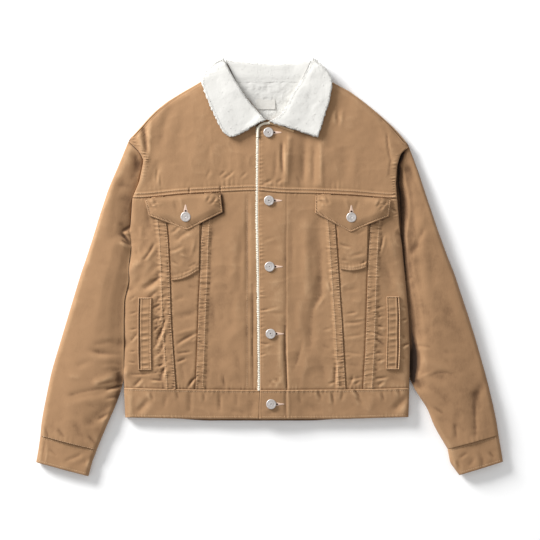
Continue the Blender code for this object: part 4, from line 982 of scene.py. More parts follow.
def eased_grid(grid, rounds, raise_only=False):
    """Smooth a grid of heights."""
    for _ in range(rounds):
        mean = neighbours(grid) / 4
        grid = np.maximum(grid, mean) if raise_only else mean
    return grid


def on_front(x, y, rounds=40):
    """Underside of a soft piece laid on the front: it bridges the seams and follows the forms below."""
    return eased_grid(eased_grid(lower_top(x, y), rounds, True), rounds // 2) + 0.3


def height_on(x, y, z):
    """Height of a finished grid at any place on it."""
    flat_x, flat_y, flat_z = x.ravel(), y.ravel(), z.ravel()

    def read(at_x, at_y):
        away = (flat_x[None] - np.ravel(at_x)[:, None]) ** 2 + (flat_y[None] - np.ravel(at_y)[:, None]) ** 2
        nearest = np.argpartition(away, 3, axis=1)[:, :3]
        weight = 1.0 / (np.take_along_axis(away, nearest, 1) + 0.01)
        return (flat_z[nearest] * weight).sum(axis=1) / weight.sum(axis=1)
    return read


for side, sections in POCKETS.items():
    x, y = patch(sections, 2.0)
    lower_edge = away_from(edges(x, y, np.s_[::3, -1]), x, y)
    base = on_front(x, y)
    swell = 0.9 * ease(lower_edge, 22.0) + 0.5 * mottle(x, y, 15, 17) + 0.2 * mottle(x, y, 6, 16)
    hem = row_groove(lower_edge, 3.2, 0.5) - 1.1 * rolled(lower_edge, 1.3)
    hem += 0.9 * faded(lower_edge - 8.5, 1.6)
    arc = row_groove(lower_edge, 9.5, 0.45) + 0.4 * puckers(x, 23, 6.0) * bell(lower_edge - 7, 5.0)
    top = base + POCKET_WALL + swell + hem + arc + creased(x, y, POCKET_CREASES)
    sew(f"chest_pocket_{side}", x, y, top, base)

# -------------------------------------------------------------------------------------- pocket flaps
# Pointed flaps, doubled and top-stitched a little inside the edge, hanging from the yoke seam over the
# chest pockets. They puff up between the seam and their button.

FLAP_WALL = 2.0
FLAP_LIFT = 1.29
FLAP_ROW = 3.0
FLAPS = {
    "left": [
        (-231, 126, -223, 95), (-192, 130, -188, 82), (-154, 134, -153, 68), (-122, 135.5, -120, 85),
        (-90, 136.5, -86, 102),
    ],
    "right": [
        (85, 134, 84, 100), (117, 133, 116, 83), (151, 131, 149, 64), (188, 128.5, 185, 80),
        (225, 125.5, 221, 94),
    ],
}
FLAP_CREASES = [
    (-224, 122, -212, 108, 2.2, -0.5, 1, 1), (-214, 126, -206, 112, 2.4, -0.5, 1),
    (-98, 132, -108, 117, 2.2, -0.5, -1, -1), (-110, 132, -116, 120, 2.2, -0.5, 1),
    (-165, 128, -160, 104, 4, 0.5), (-176, 122, -170, 102, 3.4, -0.4), (92, 130, 103, 115, 2.2, -0.4, 1, 1),
    (104, 131, 110, 118, 2.2, -0.5, 1), (216, 121, 204, 107, 2.2, -0.6, -1, -1),
    (205, 124, 198, 110, 2.2, -0.5, 1), (140, 126, 146, 106, 4, 0.5), (164, 124, 158, 104, 3.4, -0.4),
]
for side, sections in FLAPS.items():
    x, y = patch(sections, 1.5, soften=2)
    outline = border(x, y)
    free = outline[(outline[:, 1] < yoke_seam(outline[:, 0]) - 5)]
    free_edge = away_from(free, x, y)
    base = on_front(x, y, 60) + FLAP_LIFT - 0.7 * bell(free_edge, 6.0)
    from_top = y[:, :1] - y
    corners = bell(np.abs(x - x.mean()) - 58, 12.0) * bell(from_top - 12, 11.0)
    swell = 0.2 + 2.2 * ease(free_edge, 16.0) - 1.2 * bell(from_top, 5.0) + 0.5 * mottle(x, y, 14, 19)
    swell += corners * (0.45 * mottle(x, y, 6.5, 18) + 0.7 * mottle(x * 0.6, y, 3.0, 20))
    edge = 0.3 * bell(free_edge, 7.0) - 1.1 * rolled(free_edge, 1.2) + row_groove(free_edge, FLAP_ROW, 0.6)
    edge += 0.35 * bell(free_edge - 1.4, 0.9)
    ripple = 0.55 * puckers(x + y, 27, 6.2) * bell(free_edge - 3, 3.0)
    top = base + FLAP_WALL + swell + edge + ripple + creased(x, y, FLAP_CREASES)
    sew(f"pocket_flap_{side}", x, y, top, base)

# --------------------------------------------------------------------------------- hand pocket welts
# A slanted welt over each hand pocket, edge-stitched all round. The pocket mouth is the slit beside
# its outer edge, which gapes a little in its lower half.

WELT_WALL = 2.0
WELT_LEFT = [
    (-243, -56, -218, -56), (-244, -90, -219, -90), (-244, -124, -219, -124), (-244, -158, -219, -158),
    (-243, -191, -218, -191),
]
WELT_RIGHT = [
    (216, -54, 240, -54), (217, -88, 242, -88), (217, -122, 242, -122), (216, -156, 242, -156),
    (215, -190, 240, -190),
]
for side, sections, mouth, gape in (("left", WELT_LEFT, -240.2, -152.0),
                                    ("right", WELT_RIGHT, 237.6, -120.0)):
    x, y = patch(sections, 1.1, soften=3)
    edge_away = away_from(border(x, y), x, y)
    base = on_front(x, y)
    middle = x.mean(axis=1, keepdims=True)
    slit_x = mouth + (middle - middle.mean())
    slit_wide = 1.1 + 1.1 * bell(y - gape, 24.0)
    slit = -2.6 * bell(x - slit_x, slit_wide, 4) * ease(edge_away - 1.5, 2.0)
    lip = 0.8 * bell(np.abs(x - slit_x) - 2.6, 1.5)
    inward = (x - slit_x) * (1 if side == "left" else -1)
    wrinkles = 0.8 * puckers(y, 33, 12.0) * bell(inward - 10, 7.0)
    seam = row_groove(np.abs(inward), 20.0, 0.55) + row_groove(edge_away, 3.0, 0.45)
    edge = -1.0 * rolled(edge_away, 1.0) + 0.35 * puckers(y, 37) * bell(edge_away, 4)
    edge += 0.95 * bell(edge_away - 1.2, 0.8)
    top = np.maximum(base + WELT_WALL + slit + lip + wrinkles + seam + edge, base + 0.4)
    sew(f"pocket_welt_{side}", x, y, top, base)

# ---------------------------------------------------------------------------- pile along the opening
# The pile lining rolls out as a thin off-white line along the edge of the top front. Its curls make
# a fine uneven edge, and the top corner of the front is bound with a pale piping.

PILE_TOP = 17.6
PILE_SHADE = (0.50, 0.485, 0.445, 1.0)
PILE_WHITE = (0.60, 0.59, 0.56, 1.0)


def pile_finish(name, shade=PILE_SHADE, white=PILE_WHITE):
    """Short curly pile: off-white, with painted shade a little darker down between its curls."""
    pile = Finish(name, Roughness=0.98, Sheen_Weight=0.25, Sheen_Roughness=0.7, Specular_IOR_Level=0.1)
    curls = pile.cells(2.6)
    fluff = pile.speckle(1.3, 3.0)
    broad = pile.speckle(26.0, 2.0)
    depth = pile.rise_and_shade() * 0.22 + (fluff - 0.5) * 0.35 + (broad - 0.5) * 0.35 - curls * 0.12 + 0.66
    pile.put(Base_Color=depth.between(-0.15, 0.62).mix(shade, white))
    pile.bump((1.0 - curls) * 0.5 + fluff * 0.5, 0.22)
    return pile.material


white_pile = pile_finish("white_pile")


def curls(x, y, size, seed):
    """A bed of small curls: each stands up in the middle of its own cell, from 0 to 1."""
    jitter = np.random.default_rng(seed).uniform(0.1, 0.9, (2, 64, 64))
    column, row = np.floor(x / size).astype(int), np.floor(y / size).astype(int)
    nearest = np.full(np.shape(x), 9.0)
    for add_x in (-1, 0, 1):
        for add_y in (-1, 0, 1):
            cell = (row + add_y) % 64, (column + add_x) % 64
            to_x = column + add_x + jitter[0][cell] - x / size
            to_y = row + add_y + jitter[1][cell] - y / size
            nearest = np.minimum(nearest, to_x ** 2 + to_y ** 2)
    return 1.0 - np.clip(nearest / 0.55, 0.0, 1.0)


def pile_relief(x, y, seed, strength=1.0):
    """Relief of the pile over its backing, in millimetres."""
    return strength * (0.3 * curls(x, y, 5.2, seed) + 0.3 * curls(x, y, 2.6, seed + 1) - 0.3)


TUFT_LENGTH = 1.9


def tufts(node, near_rim, count, seed):
    """Little bent tufts that stand out of the pile, most of them along its rim, joined to one piece."""
    random = np.random.default_rng(seed)
    x, y, z = surfaces[node]
    rows, columns = np.nonzero((near_rim < 4.5) & (near_rim > 0.3) | (random.random(x.shape) < 0.03))
    chosen = random.permutation(len(rows))[:count]
    points, faces = [], []
    for row, column in zip(rows[chosen], columns[chosen]):
        root = np.array((x[row, column], y[row, column], z[row, column] - 0.4))
        turn, lean = random.uniform(0, 2 * np.pi), random.uniform(0.5, 1.2)
        out = np.array((np.cos(turn) * lean, np.sin(turn) * lean, 1.0))
        out = out / np.linalg.norm(out) * TUFT_LENGTH * random.uniform(0.6, 1.2)
        side = np.array((-np.sin(turn), np.cos(turn), 0.0))
        start = len(points)
        for place, wide in ((0.0, 0.55), (0.55, 0.5)):
            bent = root + out * place + np.array((0, 0, -0.6)) * place ** 2
            for angle in (0, 2 * np.pi / 3, 4 * np.pi / 3):
                around = side * np.cos(angle) + np.cross(out / np.linalg.norm(out), side) * np.sin(angle)
                points.append(bent + around * wide)
        points.append(root + out + np.array((0, 0, -1.1)))
        for step in range(3):
            after = (step + 1) % 3
            faces.append((start + step, start + after, start + 3 + after, start + 3 + step))
            faces.append((start + 3 + step, start + 3 + after, start + 6))
        faces.append((start + 2, start + 1, start))
    make_piece(node + "_tufts", points, faces, white_pile, sharp=3.1)


NOTCH_PITCH = 3.15        # spacing of the curls along the strip
levels = np.arange(-228.5, 260.0, 0.5)
places = np.array((0.0, 0.08, 0.2, 0.35, 0.5, 0.65, 0.8, 0.92, 1.0))[None]
drift = 2.4 * mottle(levels, 0, 8.0, 43)
teeth = np.abs(np.sin(np.pi * (levels + drift) / NOTCH_PITCH))
notches = 1.5 * (1 + 0.4 * mottle(levels, 0, 5.5, 46)) * teeth ** 0.7 + 0.5 * mottle(levels, 0, 2.3, 44)
outer = front_edge(levels) - PILE_WIDTH + 0.5 - notches
x = outer[:, None] + (front_edge(levels) + 0.9 - outer)[:, None] * places
y = levels[:, None] + 0.0 * places
top = PILE_TOP - 1.3 + 2.2 * np.sqrt(1 - (2 * places - 1) ** 2 * 0.98) + pile_relief(x, y, 45, 0.5)
top = top - 1.1 * (1 - teeth[:, None] ** 0.6) * (1 - places) ** 0.5
under = np.full(x.shape, TONGUE_TOP + 0.4)
piece = sewn_sheet("front_edge_pile_fur", x, y, top, under,
                   pile_finish("edge_pile", (0.36, 0.31, 0.235, 1.0), (0.60, 0.56, 0.47, 1.0)))
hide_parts("front_edge_pile")

PIPING = [(-21.8, 240), (-21.4, 255.5), (-18.6, 261.4), (-11.5, 265.4), (-0.4, 266.4), (12.5, 263.4),
          (27.5, 257.6), (45, 251.4)]
PIPING_RADIUS = 2.3


def thread_finish(name, colour):
    """Twisted cotton thread or bound cloth in one tone."""
    thread = Finish(name, Roughness=0.85, Specular_IOR_Level=0.2)
    twist = thread.speckle(0.9, 2.0)
    darker = tuple(0.72 * value for value in colour[:3]) + (1.0,)
    thread.put(Base_Color=twist.between(0.25, 0.7).mix(darker, colour))
    thread.bump(twist, 0.15)
    return thread.material


def even_turns(count):
    """Even turns round a circle."""
    return np.linspace(0, 2 * np.pi, count + 1)[:-1]


def unit(vectors):
    """The same directions, each 1 long."""
    return vectors / np.linalg.norm(vectors, axis=1, keepdims=True)


def ring_faces(rings, turns):
    """Faces of a round form: each ring joined to the next, and both ends closed."""
    faces = [(here + step, here + (step + 1) % turns, here + turns + (step + 1) % turns, here + turns + step)
             for here in range(0, (rings - 1) * turns, turns) for step in range(turns)]
    return faces + [tuple(range(turns))[::-1], tuple(range((rings - 1) * turns, rings * turns))]


def tube_along(line, heights, radius, turns=10):
    """Points and faces of a round cord along a line, closed at both ends."""
    line = np.column_stack((line, heights))
    run = unit(np.gradient(line, axis=0))
    side = unit(np.cross(run, (0, 0, 1.0)))
    lift = np.cross(side, run)
    points = [line[place] + radius * (np.cos(turn) * side[place] + np.sin(turn) * lift[place])
              for place in range(len(line)) for turn in even_turns(turns)]
    return points, ring_faces(len(line), turns)


def resample(line, step):
    """Points at even steps along a chain."""
    line = np.asarray(line, float)
    along = distances(line)
    places = np.linspace(0, along[-1], max(2, int(along[-1] / step) + 1))
    return np.column_stack([np.interp(places, along, column) for column in line.T])


piping_line = resample(PIPING, 1.5)
for _ in range(4):
    piping_line[1:-1] = (piping_line[:-2] + 2 * piping_line[1:-1] + piping_line[2:]) / 4
turn = int(np.argmax(piping_line[:, 0] > 0))
for name, part, tone in (("front_corner_piping", piping_line[:turn + 1], (0.80, 0.73, 0.60, 1.0)),
                         ("front_corner_cord", piping_line[turn:], (0.55, 0.36, 0.20, 1.0))):
    points, faces = tube_along(part, 19.0 - 0.03 * np.maximum(part[:, 0], 0), PIPING_RADIUS)
    piece = make_piece(name, points, faces, thread_finish(name, tone))

# --------------------------------------------------------------------------------- neck lining, label
# Pile inside the back of the neck, in the shade of the collar, and a bare woven label that is folded
# in at its ends and tacked at its corners.

LINING_TOP = FRONT_BOTTOM + 2.2
# The lining is the same pile as the collar, painted greyer as the shade of the collar over it.
painted_shade_pile = pile_finish("lining_pile", (0.43, 0.415, 0.38, 1.0), (0.585, 0.575, 0.545, 1.0))
x, y = plan_between(lambda at: neck_left(at) + 0.6, lambda at: neck_right(at) - 0.6, fixed(273), fixed(342.6),
                    spread(100, 1.5), spread(69, 1.5))
top = LINING_TOP - 0.3 + pile_relief(x, y, 47, 1.1) + 0.6 * mottle(x, y, 16, 48) + 0.4 * mottle(x, y, 7, 50)
top += 3.9 * ease(y - 296, 47.0)
sew("neck_lining", x, y, top, FRONT_BOTTOM, kind="fur", finish=painted_shade_pile)

LABEL = (-25.5, 11.0, 292.5, 312.5)
tape = Finish("woven_tape", Roughness=0.75, Specular_IOR_Level=0.25)
ribs = tape.speckle(0.6, 1.0, (0.25, 1.0, 1.0))
tape.put(Base_Color=ribs.between(0.3, 0.7).mix((0.52, 0.50, 0.46, 1.0), (0.60, 0.585, 0.55, 1.0)))
tape.bump(ribs, 0.12)
x, y = plan_between(*(fixed(side) for side in LABEL), spread(36, 1.0), spread(20, 1.0))
fold = np.minimum(x - LABEL[0], LABEL[1] - x)
top = LINING_TOP + 1.0 + 0.1 * (fold < 4.0) - 0.4 * rolled(fold, 0.8) + 0.15 * mottle(x, y, 9, 49)
sew("neck_label", x, y, top, LINING_TOP + 0.55, kind="tape", finish=tape.material)

# -------------------------------------------------------------------------------------------- collar
# A pointed collar with its pile side out: a fall over each front that rolls over from the stand, the
# stand inside the neck, and the back of the fall, folded under behind the neck.

COLLAR_WALL = 6.4
NECK_LEDGE = FRONT_BOTTOM + 2.5
COLLAR_FALLS = {
    "left": [
        (-8, 272, -68, 239.5), (-14, 280, -77, 241), (-22, 289, -84, 247), (-31, 298, -91, 258),
        (-39, 309, -98, 271), (-47, 319, -105, 286), (-54, 331, -112, 303), (-61, 342, -120, 323),
        (-70, 357, -127, 342), (-76, 368, -124, 357), (-81, 378, -112, 371), (-85, 387, -97, 383),
    ],
    "right": [
        (-2, 269, 88, 240.5), (10, 274, 92, 246), (20, 280, 95, 257), (27, 290, 99, 270), (33, 301, 103, 284),
        (39, 313, 108, 298), (46, 326, 112, 314), (53, 335, 115, 328),
        (59, 343, 117, 342), (65, 355, 113, 356),
        (71, 368, 105, 367), (76, 378, 95, 377), (80.5, 387, 87, 383.5),
    ],
}


def under_collar(x, y):
    """What the collar lies on: the yokes, and a level ledge inside the neck and past the shoulders."""
    in_neck = (y > NECK_START) & (x > neck_left(y)) & (x < neck_right(y))
    past = (y > SHOULDER_TOP) | (x < left_side(y)) | (x > right_side(y))
    return np.where(in_neck | past, NECK_LEDGE, yoke_top(x, y))


def clear_of(surface, x, y, reach):
    """Highest point of a surface close round each place."""
    return np.max([surface(x, y), *(surface(x + reach * np.cos(turn), y + reach * np.sin(turn))
                                    for turn in even_turns(8))], axis=0)


def finer(grid, *counts):
    """A grid of heights read at more rows and columns, evenly between the given ones."""
    for count in counts[::-1]:
        places, old = np.linspace(0, 1, count), np.linspace(0, 1, grid.shape[1])
        grid = np.array([np.interp(places, old, line) for line in grid]).T
    return grid


FRAY = 1.7


def fray(x, y, away, seed, out_x, out_y):
    """Push the rim of a pile piece in and out, so that its outline is made of curls."""
    push = FRAY * (0.8 * mottle(x, y, 3.4, seed) + 0.5 * mottle(x, y, 1.9, seed + 1)) * bell(away, 2.0)
    return x + out_x * push, y + out_y * push


PILE_EDGE = (0.0, 0.4, 1.0, 1.8, 2.8, 4.0, 5.4)
for side, sections in COLLAR_FALLS.items():
    coarse_x, coarse_y = patch(sections, 6.0, (0.0, 3.0))
    below = eased_grid(clear_of(under_collar, coarse_x, coarse_y, 11.0) + 0.6, 3, True)
    x, y = patch(sections, 1.35, PILE_EDGE, 7)
    base = finer(below, *x.shape)
    roll_line = edges(x, y, np.s_[::4, 0])
    free_line = edges(x, y, np.s_[0, ::4], np.s_[::4, -1], np.s_[-1, ::-4])
    from_roll, from_edge = away_from(roll_line, x, y), away_from(free_line, x, y)
    level = base + 0.75 * (base.max(axis=1, keepdims=True) - base) * faded(from_roll - 18.0, 26.0)
    crest = 0.8 * faded(from_roll, 46.0)
    fall, reach, lumpy, curly = (5.0, 2.6, 0.12, 0.22) if side == "left" else (1.2, 9.0, 0.25, 0.3)
    drop = np.maximum(fall * rolled(from_roll, reach), 3.4 * rolled(from_edge, 2.0))
    soft = 0.4 * mottle(x, y, 21, 53) + lumpy * mottle(x, y, 9, 54)
    top = level + COLLAR_WALL + crest - drop + soft - 0.4 + pile_relief(x, y, 55, curly)
    centre_x, centre_y = x.mean(), y.mean()
    reach = np.hypot(x - centre_x, y - centre_y) + 1.0
    x, y = fray(x, y, from_edge, 57, (x - centre_x) / reach, (y - centre_y) / reach)
    name = f"collar_fall_{side}"
    sew(name, x, y, top, base + 1.8 * bell(from_edge, 3.0),
        keep=[2, 4, 8, 20, 32], kind="fur", finish=white_pile)
    tufts(name, np.minimum(from_edge, from_roll), 2200, 58 if side == "left" else 59)
    if side == "left":
        # A dark cord along the inside of the left roll line: painted shadow in the gap between the fall and
        # the neck.
        inside = resample(roll_line + (0.7, 0.2), 2.0)[8:-6]
        heights = NECK_LEDGE + 0.9 + 1.5 * mottle(inside[:, 0], inside[:, 1], 3.0, 60)
        points, faces = tube_along(inside, heights, 1.3, 6)
        fold_shadow = thread_finish("fold_shadow", (0.38, 0.31, 0.26, 1.0))
        make_piece("collar_fold_shadow", points, faces, fold_shadow)

STAND = [
    (-60.5, 342.8, -81, 384), (-36, 342.8, -52, 381), (-6, 342.8, -5, 376.5), (32, 342.8, 36, 377.5),
    (58.5, 342.8, 78, 384),
]
STAND_TOP = 14.4
FALL_BACK_WALL = 8.6
x, y = patch(STAND, 1.4, PILE_EDGE, 10)
crest = away_from(edges(x, y, np.s_[::4, -1]), x, y)
seam = away_from(edges(x, y, np.s_[::4, 0]), x, y)
right_end = away_from(edges(x, y, np.s_[-1, ::4]), x, y)
top = STAND_TOP - 0.4 - 4.0 * rolled(crest, 6.0) - 0.7 * faded(seam, 12.0)
top += 1.5 * faded(right_end, 24.0) * ease(seam, 30.0)
top += pile_relief(x, y, 63, 0.4)
top += 0.3 * mottle(x, y, 17, 64)
x, y = fray(x, y, crest, 65, 0.0, 1.0)
sew("collar_stand", x, y, top, FALL_BACK_WALL + 0.3, kind="fur", finish=white_pile)
tufts("collar_stand", crest, 900, 66)

FALL_BACK = [
    (-124, -126, 351), (-113, -119, 364), (-101, -107, 375), (-90, -97, 382), (-80, -85, 386.2),
    (-64, -70, 383.8), (-38, -42, 381.5), (-4, -5, 378), (34, 36, 379), (62, 70, 383.5), (76, 80, 386.2),
    (85, 93, 379), (94, 102, 370), (103, 111, 359), (112, 115, 350),
]


def yoke_upper_edge(x):
    """Upper edge of the back yoke, read across the jacket."""
    levels = np.arange(236.0, SHOULDER_TOP + 1)
    if abs(x) < 92:
        return float(back_neckline(x))
    side = left_side if x < 0 else right_side
    order = np.argsort(side(levels))
    return float(np.interp(x, side(levels)[order], levels[order]))


x, y = patch([(x1, yoke_upper_edge(x1) + 3.0, x2, y2) for x1, x2, y2 in FALL_BACK], 1.8, PILE_EDGE[:5], 3)
fold = away_from(edges(x, y, np.s_[::3, -1]), x, y)
under = 3.0 * rolled(fold, 6.0)
top = FALL_BACK_WALL - 0.3 - 3.0 * rolled(fold, 6.0) + pile_relief(x, y, 67, 0.5)
sew("collar_fall_back", x, y, top, under, keep=[x.shape[1] - 4, x.shape[1] - 2],
    kind="fur", finish=white_pile)

# ------------------------------------------------------------------------------------ sleeves, cuffs
# Each sleeve is a lined tube of the same cloth, pressed flat, with its seam under the arm. It ends in a
# plain cuff, a shorter tube of doubled cloth. The sleeves fold and drag towards their cuffs.

SLEEVE_LEFT = table("outer_x outer_y inner_x inner_y follow", [
    (-264, 234, -263.5, 62, 1), (-274, 208, -264, 51, 0.72), (-284, 182, -260, 40, 0.46),
    (-298, 149, -260.5, 20, 0.22), (-309, 115, -263, 2, 0.08), (-319, 83, -263, -14, 0),
    (-329, 50, -265.5, -34, 0), (-340, 16, -270.8, -58, 0), (-350, -12, -272, -78, 0),
    (-359, -42, -272, -98, 0), (-368, -72, -272, -118, 0), (-377, -102, -272, -138, 0),
    (-386, -132, -272, -158, 0), (-396, -165, -272, -178, 0), (-404, -192, -272, -197, 0),
    (-410, -220, -272.5, -218, 0), (-415, -245, -281, -246, 0), (-420, -270, -294, -276, 0),
    (-423.5, -292, -308, -308, 0), (-425, -312, -320.5, -339, 0),
])
SLEEVE_RIGHT = table("outer_x outer_y inner_x inner_y follow", [
    (260.8, 224, 243, 62, 1), (268, 203, 244.8, 50, 0.72), (276, 180, 246.8, 36, 0.46),
    (285, 151, 249.5, 18, 0.22), (293, 125, 251.5, 0, 0.08), (301, 102, 254, -18, 0),
    (311, 71, 256.5, -38, 0), (321, 44, 258.5, -58, 0), (332, 14, 260.5, -78, 0), (343, -12, 262.5, -98, 0),
    (352, -41, 264, -118, 0), (362, -70, 265, -138, 0), (371, -98, 265.5, -158, 0),
    (381, -130, 265.5, -178, 0), (391, -165, 264.5, -198, 0), (401, -200, 265, -220, 0),
    (409, -232, 279, -242, 0), (415, -258, 293, -262, 0), (420.5, -284, 305, -295, 0),
    (424.5, -311, 330, -337, 0),
])
CUFF_LEFT = [(-428.5, -337, -328.5, -360), (-433, -362, -336, -388)]
CUFF_RIGHT = [(429, -337, 335, -363), (433, -361, 352, -386)]
SLEEVE_THICK = 15.5
ARMHOLE_THINNER = 3.5
CUFF_THICK = 14.0
CUFF_SEAM_ROW = 3.0
CUFF_END_ROW = 5.0
SLEEVE_MIDDLE = 7.6       # level of the slit inside a sleeve
SLIT_INSET = 9.0
TUBE_CROWN_REACH = 60.0
TUBE_LEAST = 2.6
SLEEVE_CREASES = {
    "left": [
        (-326, -144, -283, -138, 5.6, -0.7, 1, -1.9), (-333, -153, -274, -159, 5.2, -0.9, 1, 2.8),
        (-308, -185, -273, -186, 4.1, 0.5, 0, -1.9), (-282, -194, -273, -214, 7.4, -2),
        (-272, 61, -257, 42, 3, -1.8, -1), (-273, 50, -257, 39, 2.4, -1.2, 1),
        (-272, 67, -256, 76, 2.4, -1, 1), (-269, 63, -256, 61, 2.2, 1),
        (-372, -237, -272, -220, 2.6, -0.3, 1, -3), (-302, -226, -272, -219, 2.6, -1.3, 1),
        (-319, -217, -278, -206, 3, -0.6, 1, 1.1), (-318, -282, -294, -270, 3.7, -0.8, 1, -1.1),
        (-320, -294, -308, -320, 7.4, -0.6), (-391, -299, -380, -316, 4.4, -0.6, 1),
        (-415, -296, -411, -316, 3, -0.7, 1), (-361, -290, -346, -316, 6.3, -0.5),
        (-249, 213, -246, 185, 6.7, -0.8), (-256, 187, -269, 139, 12, -0.9, 0, 0.9),
        (-269, 143, -282, 76, 13, -0.8, 0, -1.9), (-289, 165, -304, 58, 14.8, 0.55),
        (-261, 217, -282, 161, 7.4, 0.4), (-276, 84, -265, 54, 7.4, -0.7), (-280, 43, -269, 10, 7.4, -0.5),
        (-313, 32, -328, -98, 16.7, 0.15), (-291, 10, -306, -116, 13, -0.12),
        (-343, 10, -365, -116, 14.8, -0.1), (-357, -116, -387, -246, 16.7, 0.3),
        (-332, -42, -317, -83, 7.4, -0.25), (-302, -242, -278, -238, 3.7, -0.8, 1),
        (-343, -249, -320, -260, 5.6, -0.3), (-376, -249, -391, -290, 9.2, -0.3),
        (-335, -312, -319, -331, 3.7, -0.7, 1), (-252, 230, -243, 213, 3, -0.35),
        (-272, 202, -283, 169, 5.6, -0.3), (-302, 113, -315, 84, 7.4, -0.2),
        (-357, -183, -335, -175, 5.6, -0.45), (-372, -201, -350, -205, 5.6, 0.4),
    ],
    "right": [
        (274, 48, 286, 74, 4.8, -0.55, 1), (257, 21, 275, 50, 5.6, -0.55, 1, 1.5),
        (252, -18, 259, 10, 5.6, -0.6, 0, 1.1), (250, -24, 264, -16, 3.7, -0.6, 1),
        (299, 28, 310, -64, 9.2, -0.5, 0, 1.9), (283, 21, 290, -61, 9.2, 0.4),
        (262, -135, 310, -100, 8.5, -0.4, 0, 2.6), (264, -145, 298, -148, 3, -0.5, 1, -1.9),
        (299, -198, 340, -197, 2.6, -0.3, -1, -3.7), (270, -209, 305, -194, 3.1, 0.4, 0, -1.9),
        (261, -214, 275, -210, 2.4, -1, 1), (397, -205, 380, -249, 5.9, -0.15, 1, 1.9),
        (379, -246, 381, -314, 2.6, -0.3, -1, 0.7), (303, -258, 322, -271, 3.7, -0.6, 1),
        (338, -290, 364, -303, 5.6, -0.25), (342, -290, 345, -316, 3.7, -0.6, 1),
        (259, 224, 243, 202, 3.7, -1.1, 1, 1.1), (255, 198, 260, 161, 8.3, 0.6),
        (262, 165, 270, 113, 6.3, 0.4), (279, 143, 294, 69, 8.3, -0.3), (316, -42, 342, -116, 11.1, -0.45),
        (334, -42, 357, -101, 9.2, 0.4), (327, -135, 364, -231, 13, 0.25), (294, -216, 327, -246, 7.4, -0.6),
        (264, -227, 296, -264, 4.4, -1, 1, 0.9), (281, -66, 299, -94, 7.4, -0.4),
        (264, -61, 268, -120, 7.4, 0.45), (372, -135, 386, -183, 7.4, -0.3), (403, -231, 410, -290, 7.4, 0.3),
        (355, -253, 358, -298, 7.4, 0.2), (279, -283, 309, -320, 7.4, -0.6), (257, 143, 259, 76, 5.6, 0.35),
        (270, 95, 286, 98, 5.6, -0.2), (309, 65, 327, 17, 7.4, -0.25), (323, -157, 349, -157, 5.6, -0.4),
        (259, -94, 272, -116, 4.4, -0.4, 1),
    ],
}
CUFF_CREASES = {
    "left": [
        (-378, -358, -346, -344, 3.7, -0.5, 1, 0.9), (-406, -338, -394, -349, 3, -0.5, 1),
        (-346, -364, -332, -351, 4.4, -0.5, 1), (-416, -322, -420, -362, 2.2, -0.6, -1),
        (-387, -368, -365, -372, 4.8, 0.4), (-330, -349, -326, -375, 3.3, -0.6, 1),
    ],
    "right": [
        (352, -353, 365, -343, 3, -0.5, 1), (347, -358, 351, -375, 3, -0.7, 1),
        (389, -344, 393, -377, 4.4, -0.6, 1, -2.6), (368, -368, 379, -353, 4.4, -0.5),
        (407, -342, 416, -353, 3.3, -0.6, 1), (331, -357, 338, -372, 3.3, -0.6, 1),
    ],
}
# Columns near the edges of a tube: on its top, on its underside, and on a cuff's rows
TUBE_EDGE = (0.0, 0.15, 0.5, 1.1, 2.0, 3.2, 4.8, 7.0, 10.0, 13.5, 17.0)
UNDER_EDGE = np.array((0.15, 0.6, 1.6, 3.2, 5.5, 8.0, 11.0))
CUFF_EDGE = (0.0, 0.3, 0.8, 1.5, 2.4, 3.4)


def nowhere(x, y):
    """Neither a dip nor a shade."""
    return 0.0 * x


def tube_piece(name, x, y, top, under_x, under_y, under, slit, valley, painted_shade):
    """A pressed tube of cloth: its dense top, its flat underside, and the narrow slit left inside it."""
    rows, columns = x.shape
    shell_x, shell_y = np.hstack((x, under_x[:, ::-1])), np.hstack((y, under_y[:, ::-1]))
    shell_z = np.hstack((top, under[:, ::-1]))
    count, inner = shell_x.shape[1], slit[0].shape[1]
    points = np.vstack([np.dstack(grid).reshape(-1, 3) for grid in ((shell_x, shell_y, shell_z), slit)])
    index = np.arange(rows * count).reshape(rows, count)
    after = np.roll(index, -1, axis=1)
    faces = np.dstack((index[:-1], after[:-1], after[1:], index[1:])).reshape(-1, 4).tolist()
    hole = rows * count + np.arange(rows * inner).reshape(rows, inner)
    past = np.roll(hole, -1, axis=1)
    faces += np.dstack((past[:-1], hole[:-1], hole[1:], past[1:])).reshape(-1, 4).tolist()
    half = inner // 2
    for row in (0, rows - 1):
        upper = [*index[row, :columns], *hole[row, half::-1]]
        lower = [*index[row, columns - 1:], index[row, 0], hole[row, 0], *hole[row, :half - 1:-1]]
        faces += [upper, lower] if row else [upper[::-1], lower[::-1]]
    corners = points[[face[:3] for face in faces[:(rows - 1) * count]]]
    volume = (corners[:, 0] * np.cross(corners[:, 1], corners[:, 2])).sum()
    if volume < 0:
        faces = [face[::-1] for face in faces]
    # The colour carries painted shade: the sleeve's own, and more down in its valley beside the body.
    return make_piece(name, points, faces, camel, relief_of(shell_z) - painted_shade(shell_x, shell_y)
                      - 0.5 * np.sqrt(np.maximum(valley(shell_x, shell_y) - 1.0, 0.0)))


